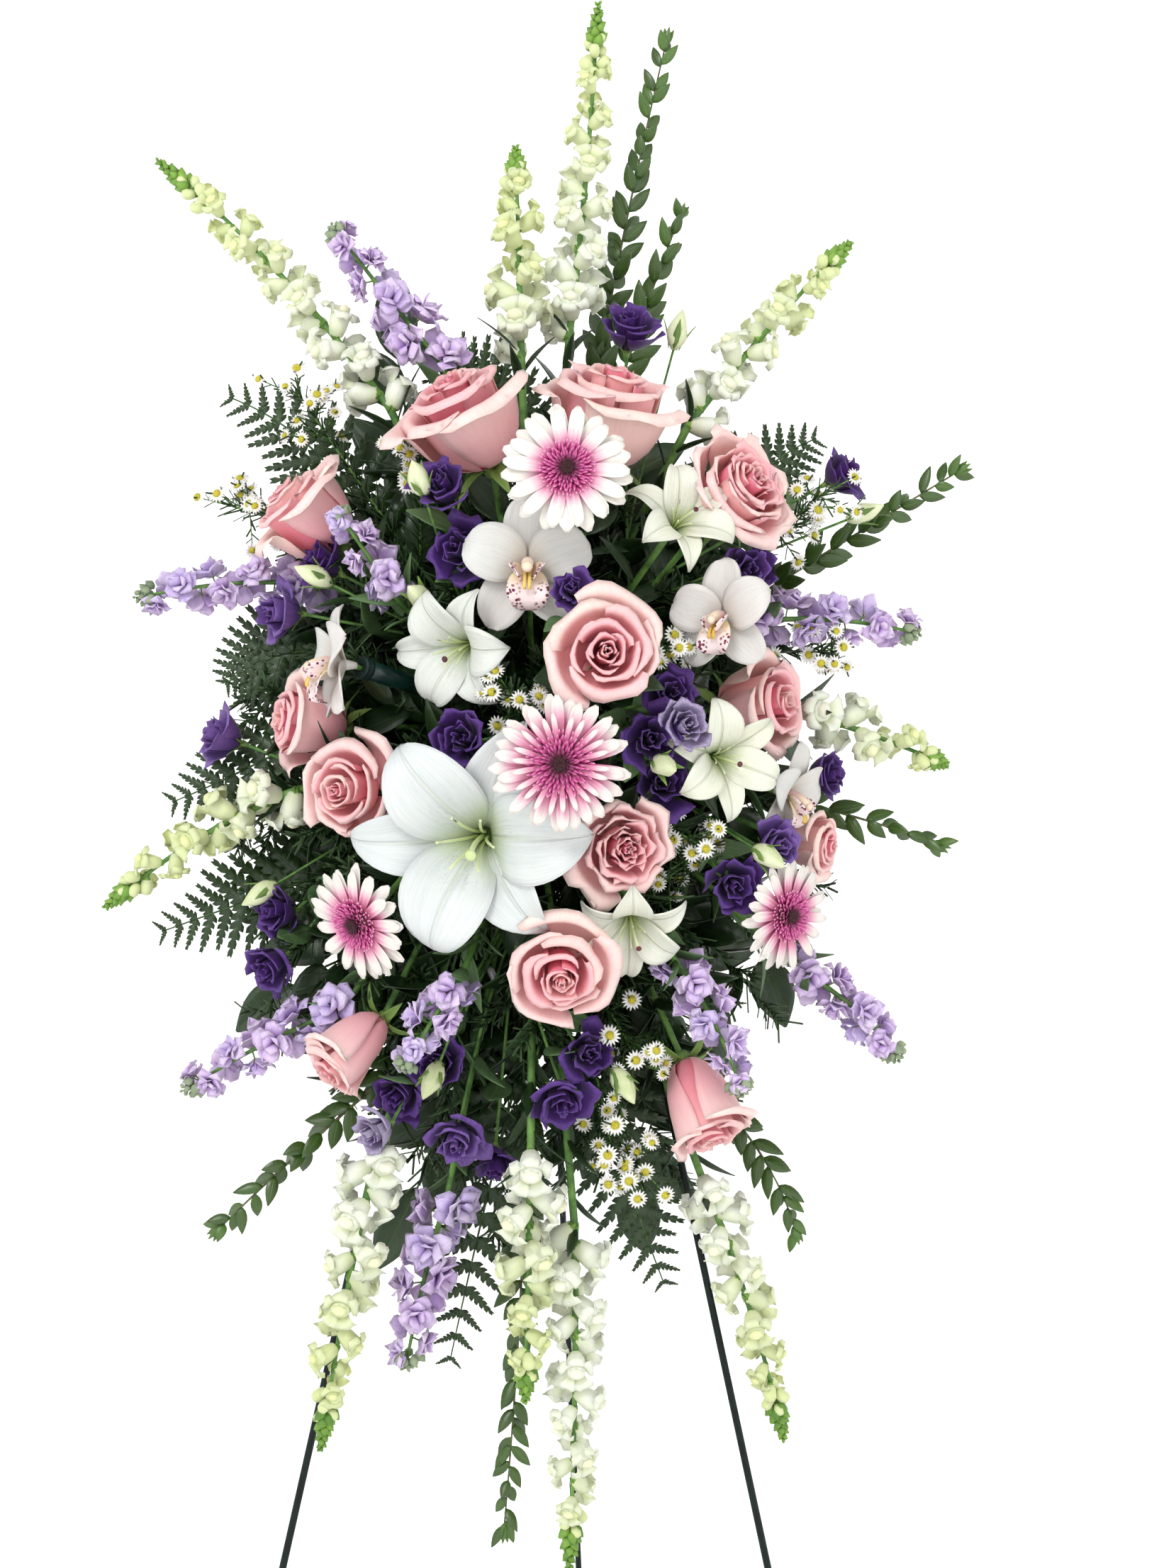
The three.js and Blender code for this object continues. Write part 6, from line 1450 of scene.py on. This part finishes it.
def myrtle_branch(bunch, fork, bend, tip, rng, long=0.034, bare=0.3, gap=0.0098):
    """A branch with pairs of oval leaves that lean forward, each pair turned on from the last."""
    curve = green_curve(fork, bend, tip)
    length = np.linalg.norm(curve[2] - curve[1]) + 0.4 * np.linalg.norm(curve[1] - curve[0])
    bunch.add(tube_rings(bezier(curve, np.linspace(0, 0.99, 16)),
                         np.linspace(0.0019, 0.0007, 16), 6), "stem_red")
    pairs = int(length * (1 - bare) / gap)
    share = np.linspace(0, 1, pairs)
    points, along, side, up = rib_frames(curve, bare + (1 - bare) * share * 0.98)
    turn = np.where(np.arange(pairs) % 2, 0.55, -0.55)[:, None] + rng.normal(0, 0.35, (pairs, 1))
    base = side * np.cos(turn) + up * np.sin(turn)
    size = long * (1 - 0.4 * share**1.5)
    for hand in (1, -1):
        roots = points + along * rng.uniform(-0.006, 0.006, (pairs, 1))
        sheets = leaf_sheets(size * rng.uniform(0.75, 1.1, pairs), size * 0.2, 7, 3, 0.2, 0.12, 0.8)
        direction = unit(base * hand * 0.75 + along + rng.normal(0, 0.16, (pairs, 3)))
        bunch.add(sheet_rings(set_leaves(sheets, roots, direction, up + base * hand * 0.5), 0.0007),
                  "myrtle_leaf",
                  layer=share * rng.uniform(0.5, 1.0, pairs))
    end = leaf_sheets(np.full(3, long * 0.5), long * 0.08, 6, 3)
    directions = unit(along[-1] + np.array([side[-1], -side[-1], up[-1]]) * 0.25)
    bunch.add(sheet_rings(set_leaves(end, np.tile(points[-1], (3, 1)), directions,
                                     np.tile(up[-1], (3, 1))), 0.0006),
              "myrtle_leaf", layer=1.0)


FERN_ROOT, MYRTLE_ROOT, ASTER_ROOT = (-5, -34, 35), (0, -36, -35), (10, -26, 10)
# A fork, then the bend and tip of each frond. Rows that end in True are stems of broad leaves.
FERN_STEMS = [
    ((-95, -35, 60), [((-135, -5, 235), (-255, -15, 280)), ((-205, 0, 80), (-255, 0, 35)),
                      ((-200, 5, -25), (-300, 0, -65)), ((-95, -55, 190), (-115, -25, 335), True)]),
    ((-90, -35, -100), [((-200, 0, -135), (-310, -5, -175)), ((-120, -45, -150), (-215, -30, -235), True)]),
    ((100, -35, 50), [((165, -10, 215), (245, -20, 245)), ((138, -70, -55), (212, -45, -225), True)]),
    ((0, -55, 190), [((-10, -50, 285), (-85, -40, 325))]),
    ((20, 0, -190), [((-30, 40, -370), (-65, 15, -535)), ((70, 40, -350), (115, 15, -470)),
                     ((-45, -50, -270), (-105, -40, -420), True), ((60, -50, -280), (95, -40, -415), True)]),
]
MYRTLE_STEMS = [
    ((45, -55, 200), [((55, -45, 320), (120, -55, 600)), ((95, -35, 350), (130, -45, 440))]),
    ((115, -60, 60), [((225, -5, 130), (365, -5, 215))]),
    ((110, -35, -40), [((250, 5, -65), (345, 0, -100))]),
    ((-5, -5, -215), [((190, 15, -295), (225, 10, -425)), ((-160, 20, -325), (-260, 5, -425)),
                      ((5, -30, -400), (-20, 10, -680))]),
]


def greens(root, stems, grow, seed):
    """A family of greens: main stems out of the foam, and what grows from their forks."""
    rng = np.random.default_rng(seed)
    bunch = Bunch()
    root = spot(root)
    for fork, tops in stems:
        end = spot(fork)
        stalk(bunch, root, end, 0.002, "stem_dark", steps=6)
        for k, top in enumerate(tops):
            grow(bunch, root + (end - root) * (1 - 0.06 * k), top[0], top[1], rng, *top[2:])
    return bunch


def grow_fern(bunch, fork, bend, tip, rng, broad=False):
    """A fern frond, or a stem of broad leaves where the row says so."""
    (broad_stem if broad else fern_frond)(bunch, fork, bend, tip, rng)


make_piece("fern_fronds", greens(FERN_ROOT, FERN_STEMS, grow_fern, 41), "stand", ["fern_and_leaves"])
make_piece("myrtle_branches", greens(MYRTLE_ROOT, MYRTLE_STEMS, myrtle_branch, 43),
           "stand", ["myrtle"])

# %% [markdown]
# The white asters have thin stems that branch many times, needle leaves all along them, and daisies the
# size of a thumbnail. They fill the gaps between the large flowers. A daisy is sixteen small rays round a
# domed eye, and one array holds every daisy of the spray.

# %% Asters
ASTER_STEMS = [
    ((-105, 5, 150), [(-190, 30, 275), (-250, 0, 185), (-85, 60, 215)]),
    ((115, -10, 75), [(245, 45, 190), (115, 130, 60), (255, 20, 60)]),
    ((40, 30, -200), [(145, 100, -100), (90, 85, -270), (96, 72, -380)]),
]


def daisies(bunch, origins, facings, sizes, rng):
    """Daisies: sixteen rays and a domed eye each."""
    angles = np.arange(16) * 2 * np.pi / 16
    rays = ray_sheets(angles, 0.26, 1.0, 0.15, 0.1, 0.12, rng, 3, 3, 5.0, 0.7)
    rings = placed(sheet_rings(rays, 0.05), origins, facings, sizes, rng.random(len(sizes)) * 6)
    bunch.add(rings, "aster_ray")
    eye = turned_rings([(0.2, -0.1), (0.42, 0.04), (0.3, 0.22), (0.02, 0.28)], 8)
    bunch.add(placed(eye, origins, facings, sizes), "aster_eye")
    cup = turned_rings([(0.06, -0.4), (0.3, -0.2), (0.34, 0.03), (0.02, 0.04)], 6)
    bunch.add(placed(cup, origins, facings, sizes), "sepal")


def needles(bunch, start, end, rng, count, long=0.016, wide=0.0014, finish="needle_leaf", first=0.08):
    """Needle leaves all round a twig, leaning forward."""
    s = np.linspace(first, 1.0, count)
    line = unit(end - start)
    out = ring_of_ways(line, np.arange(count) * GOLDEN + rng.random() * 6)
    sheets = leaf_sheets(long * rng.uniform(0.6, 1.2, count), wide, 2, 2, 0.0, -0.1, 1.0, 0.5)
    roots = start + (end - start) * s[:, None]
    sheets = set_leaves(sheets, roots, unit(out + line * 0.9), np.tile(line, (count, 1)))
    bunch.add(sheet_rings(sheets, 0.0006), finish)


def aster_spray(bunch, fork, tip, rng, heads=13, spread=0.036):
    """A twig that ends in a cloud of daisies on side twigs."""
    end = spot(tip)
    stalk(bunch, fork, end, 0.0014, "stem_green", around=6, taper=0.6)
    needles(bunch, fork, end, rng, 60, 0.02, 0.0015)
    line = unit(end - fork)
    viewer = np.array([0.05, -1.0, 0.15])
    origins, facings = [], []
    for _ in range(heads):
        root = end - line * rng.uniform(0.0, 0.05)
        away = unit(rng.normal(0, 1, 3) + line * 0.7 + viewer * 0.7)
        head = root + away * spread * rng.uniform(0.55, 1.1)
        stalk(bunch, root, head, 0.0006, "stem_green", around=4, steps=4)
        needles(bunch, root, head, rng, 8, 0.01)
        origins.append(head + away * 0.002)
        facings.append(unit(away * 0.6 + viewer * 0.8))
    daisies(bunch, np.array(origins), np.array(facings), rng.uniform(0.0064, 0.009, heads), rng)


def asters():
    """All aster sprays as one piece."""
    rng = np.random.default_rng(47)
    bunch = Bunch()
    root = spot(ASTER_ROOT)
    for fork, tips in ASTER_STEMS:
        end = spot(fork)
        stalk(bunch, root, end, 0.0018, "stem_dark", steps=6)
        for k, tip in enumerate(tips):
            aster_spray(bunch, root + (end - root) * (1 - 0.06 * k), tip, rng)
    return make_piece("aster_sprays", bunch, "stand", ["aster"])


asters()

# %% [markdown]
# What makes the spray look full is what is hardly seen: dark aster foliage, short fern tips and plain
# leaves that close the gaps behind the flowers. Their tips lie on a shallow dome behind the heads, inside
# the outline that the flowers draw, and every twig starts at the foam. The dome is an ellipse in the plan,
# and a spiral of golden angles spreads the twigs evenly over it.

# %% Foliage between the flowers


def dome(count, wide, tall, centre, depth, phase=0.0):
    """Spots on a shallow dome: across and up from a golden spiral inside an ellipse, out from
    depth (1 - share^2), so the dome is deepest at its middle."""
    i = np.arange(count)
    share = np.sqrt((i + 0.5) / count)
    angle = phase + i * GOLDEN
    across = centre[0] + wide * share * np.cos(angle)
    up = centre[1] + tall * share * np.sin(angle)
    out = depth[0] + depth[1] * (1 - share**2)
    return np.stack([across, out, up], -1)


def filling():
    """Feathery twigs, plain leaves and fern tips over the dome, as two pieces."""
    rng = np.random.default_rng(53)
    feather, plain = Bunch(), Bunch()
    root = spot((0, -5, -20))
    for tip in dome(74, 255, 365, (-8, -80), (-25, 125)):
        end = spot(tip + rng.normal(0, 9, 3))
        start = root + (end - root) * 0.16
        stalk(feather, start, end, 0.0013, "stem_dark", around=4, steps=4, taper=0.5, bow=0.004)
        line = unit(end - start)
        needles(feather, start, end, rng, 34, 0.024, 0.0022, first=0.4)
        for _ in range(3):
            base = end - line * rng.uniform(0.005, 0.06)
            away = unit(rng.normal(0, 0.8, 3) + line + [0, -0.4, 0])
            twig = base + away * rng.uniform(0.025, 0.045)
            stalk(feather, base, twig, 0.0007, "stem_dark", around=4, steps=3)
            needles(feather, base, twig, rng, 18, 0.017, 0.002)
    for tip in ((-8, 162, 20), (134, 125, -95), (70, 75, -345)):
        aster_spray(feather, root, tip, rng, 12, 0.03)
    make_piece("feathery_foliage", feather, "stand", ["aster"])
    for tip in dome(70, 215, 320, (0, -75), (-35, 125), 1.0):
        end = spot(tip + rng.normal(0, 9, 3))
        start = root + (end - root) * 0.16
        stalk(plain, start, end, 0.0016, "stem_dark", around=4, steps=4, taper=0.6, bow=0.004)
        count = 7
        line = unit(end - start)
        s = np.linspace(0.5, 1.0, count)
        out = ring_of_ways(line, np.arange(count) * GOLDEN + rng.random() * 6)
        sheets = leaf_sheets(rng.uniform(0.045, 0.075, count), rng.uniform(0.008, 0.016, count),
                             7, 3, 0.12, 0.15, 0.85)
        sheets = set_leaves(sheets, start + (end - start) * s[:, None],
                            unit(out + line * 0.8), np.tile(line, (count, 1)))
        rings = sheet_rings(sheets, 0.0007)
        plain.add(rings[clear_of_leg(rings)], "broad_leaf")
    for tip in dome(48, 185, 300, (0, -60), (-52, 45), 3.0):
        end = spot(tip + rng.normal(0, 6, 3))
        side = beside_leg(end)
        end[0] += np.copysign(max(0.0, 0.05 - abs(side)), side)
        count = 6
        line = unit(end - root)
        s = np.linspace(0.45, 1.0, count)
        stalk(plain, root, end, 0.0015, "stem_dark", around=4, steps=3, bow=0.003)
        out = ring_of_ways(line, np.arange(count) * GOLDEN + rng.random() * 6) * [1, 0.35, 1]
        if abs(side) < 0.1:
            out[:, 0] = np.copysign(out[:, 0], side)
        sheets = leaf_sheets(rng.uniform(0.07, 0.1, count), rng.uniform(0.017, 0.023, count),
                             7, 3, 0.12, 0.12, 0.8)
        sheets = set_leaves(sheets, root + (end - root) * s[:, None], unit(out + line * 0.5),
                            unit([0, -1.0, 0.3] + rng.normal(0, 0.25, (count, 3))))
        rings = sheet_rings(sheets, 0.0007)
        plain.add(rings[clear_of_leg(rings)], "broad_leaf")
    for tip in dome(15, 255, 350, (-10, -60), (-45, 60), 2.0):
        end = tip + rng.normal(0, 9, 3)
        end[0] += np.copysign(max(0.0, 70 - abs(end[0])), end[0])
        bend = end * 0.55 + np.array([0, -15, 0])
        fern_frond(plain, root, bend, end, rng, 7, 0.055, 0.5, 4)
    make_piece("filling_leaves", plain, "stand", ["fern_and_leaves"])


filling()

# %% [markdown]
# The easel is round wire, welded where the bars meet the legs. Its solids have few sides, so each wire is
# swept again as a smooth tube along the same line, with a small bead of weld at every joint. The rear leg
# hangs on the apex bar by its eye and has a small collar.

# %% The wire easel
def on_frame(x, height):
    """A point of the front frame's leaning plane, by its height."""
    return np.array([x, -0.301 + 0.3 * height / 1.43, height])


def leg_x(height):
    """How far a front leg is from the middle at a height."""
    return 0.008 + 0.304 * (1 - height / 1.43)


def wire(bunch, start, end, radius=0.003, around=20):
    """A straight wire with slightly rounded ends."""
    s = np.array([0, 0.0006, 0.002, 0.2, 0.4, 0.6, 0.8, 0.998, 0.9994, 1.0])
    widths = radius * np.array([0.7, 0.93, 1, 1, 1, 1, 1, 1, 0.93, 0.7])
    bunch.add(tube_rings(start + (end - start) * s[:, None], widths, around), "wire_paint")


def weld(bunch, place, size=0.0042):
    """A bead of weld: a slightly flattened ball."""
    share = np.linspace(0.03, 0.97, 8) * np.pi
    profile = np.stack([size * np.sin(share), -0.7 * size * np.cos(share)], -1)
    bunch.add(placed(turned_rings(profile, 12), place, np.array([0, -1.0, 0.2]), 1.0), "wire_paint")


def easel():
    """The front frame and the rear leg as two pieces, on their own bodies."""
    front = Bunch()
    for hand in (-1, 1):
        wire(front, on_frame(hand * leg_x(0.0), 0.0), on_frame(hand * 0.008, 1.43))
        weld(front, on_frame(hand * 0.008, 1.43))
    for height in (1.3, 1.12):
        reach = leg_x(height) + 0.003
        wire(front, on_frame(-reach, height), on_frame(reach, height))
        for hand in (-1, 1):
            weld(front, on_frame(hand * leg_x(height), height))
    wire(front, on_frame(-0.012, 1.43), on_frame(0.012, 1.43))
    make_piece("front_frame_wires", front, "stand", ["easel_front_frame"])
    rear = Bunch()
    wire(rear, APEX + LEG_DROP * 0.0045, APEX + LEG_DROP)
    angle = np.linspace(0, 2 * np.pi, 33)[:-1]
    angle = np.append(angle, 2 * np.pi - 1e-3)
    ring = APEX + np.stack([0 * angle, 0.0058 * np.cos(angle), 0.0058 * np.sin(angle)], -1)
    rear.add(tube_rings(ring, 0.0021, 12), "wire_paint")
    for low, high, radius in ((0.46, 0.482, 0.0055),):
        s = np.array([0, 0.05, 0.12, 0.88, 0.95, 1.0])
        path = APEX + LEG_DROP * (1 - (low + (high - low) * s)[:, None] / 1.43)
        rear.add(tube_rings(path, radius * np.array([0.75, 0.93, 1, 1, 0.93, 0.75]), 24), "wire_paint")
    make_piece("rear_leg_wire", rear, "rear_leg", ["easel_rear_leg"])


easel()

# %% [markdown]
# The floor is plain pale paper that rises all round in one soft curve, like a bowl, so that no corner shows
# from any side. Away from the stand the paper glows a little, which makes it white, as in the photograph.
# Near the feet it only reflects, so the wires still stand in their own soft shade. It is part of the studio
# and not of the object, which the frame is told.

# %% Floor and backdrop


def floor():
    """A profile of (radius, height) turned round the stand: level, then a quarter circle, then a wall."""
    turn, around = np.linspace(0, math.pi / 2, 12), 64
    r = np.concatenate([[0.05, 1.0, 3.0, 6.0], 8 + 1.5 * np.sin(turn), [9.5]])
    z = np.concatenate([[0.0] * 4, 1.5 * (1 - np.cos(turn)), [5.8]]) - 0.0005
    angle = np.arange(around) / around * 2 * np.pi
    points = np.stack([np.outer(r, np.cos(angle)),
                       np.outer(r, np.sin(angle)), np.outer(z, np.ones(around))], -1)
    row, col = np.meshgrid(np.arange(len(r) - 1), np.arange(around), indexing="ij")
    a, b = row * around + col, row * around + (col + 1) % around
    faces = np.stack([a, a + around, b + around, b], -1).reshape(-1, 4).tolist()
    mesh = bpy.data.meshes.new("studio_floor")
    mesh.from_pydata(points.reshape(-1, 3).tolist(), [], faces + [list(range(around))])
    mesh.polygons.foreach_set("use_smooth", np.ones(len(faces) + 1, bool))
    f = Finish("studio_paper", roughness=0.9)
    far = node(f.tree, "ShaderNodeSeparateXYZ", Vector=f.place).outputs
    far = f.sums("SQRT", f.sums("ADD", f.sums("POWER", far[0], 2.0), f.sums("POWER", far[1], 2.0)))
    put(f.tree, f.mix(f.grade(far, 0.7, 1.6), "000000", "FFFFFF"), f.shader.inputs["Emission Color"])
    f.shader.inputs["Emission Strength"].default_value = 0.4
    f.done(f.mix(f.group("clouds", Place=f.place, Scale=2.0)[0], "F8F8F6", "FAFAF9"))
    mesh.materials.append(f.material)
    made = bpy.data.objects.new("studio_floor", mesh)
    bpy.context.scene.collection.objects.link(made)
    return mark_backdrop(made)


floor()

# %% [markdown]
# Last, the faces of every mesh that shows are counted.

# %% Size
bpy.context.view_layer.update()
faces = sum(len(o.data.polygons) for o in bpy.data.objects if o.type == "MESH" and not o.hide_render)
print("faces in all:", faces)
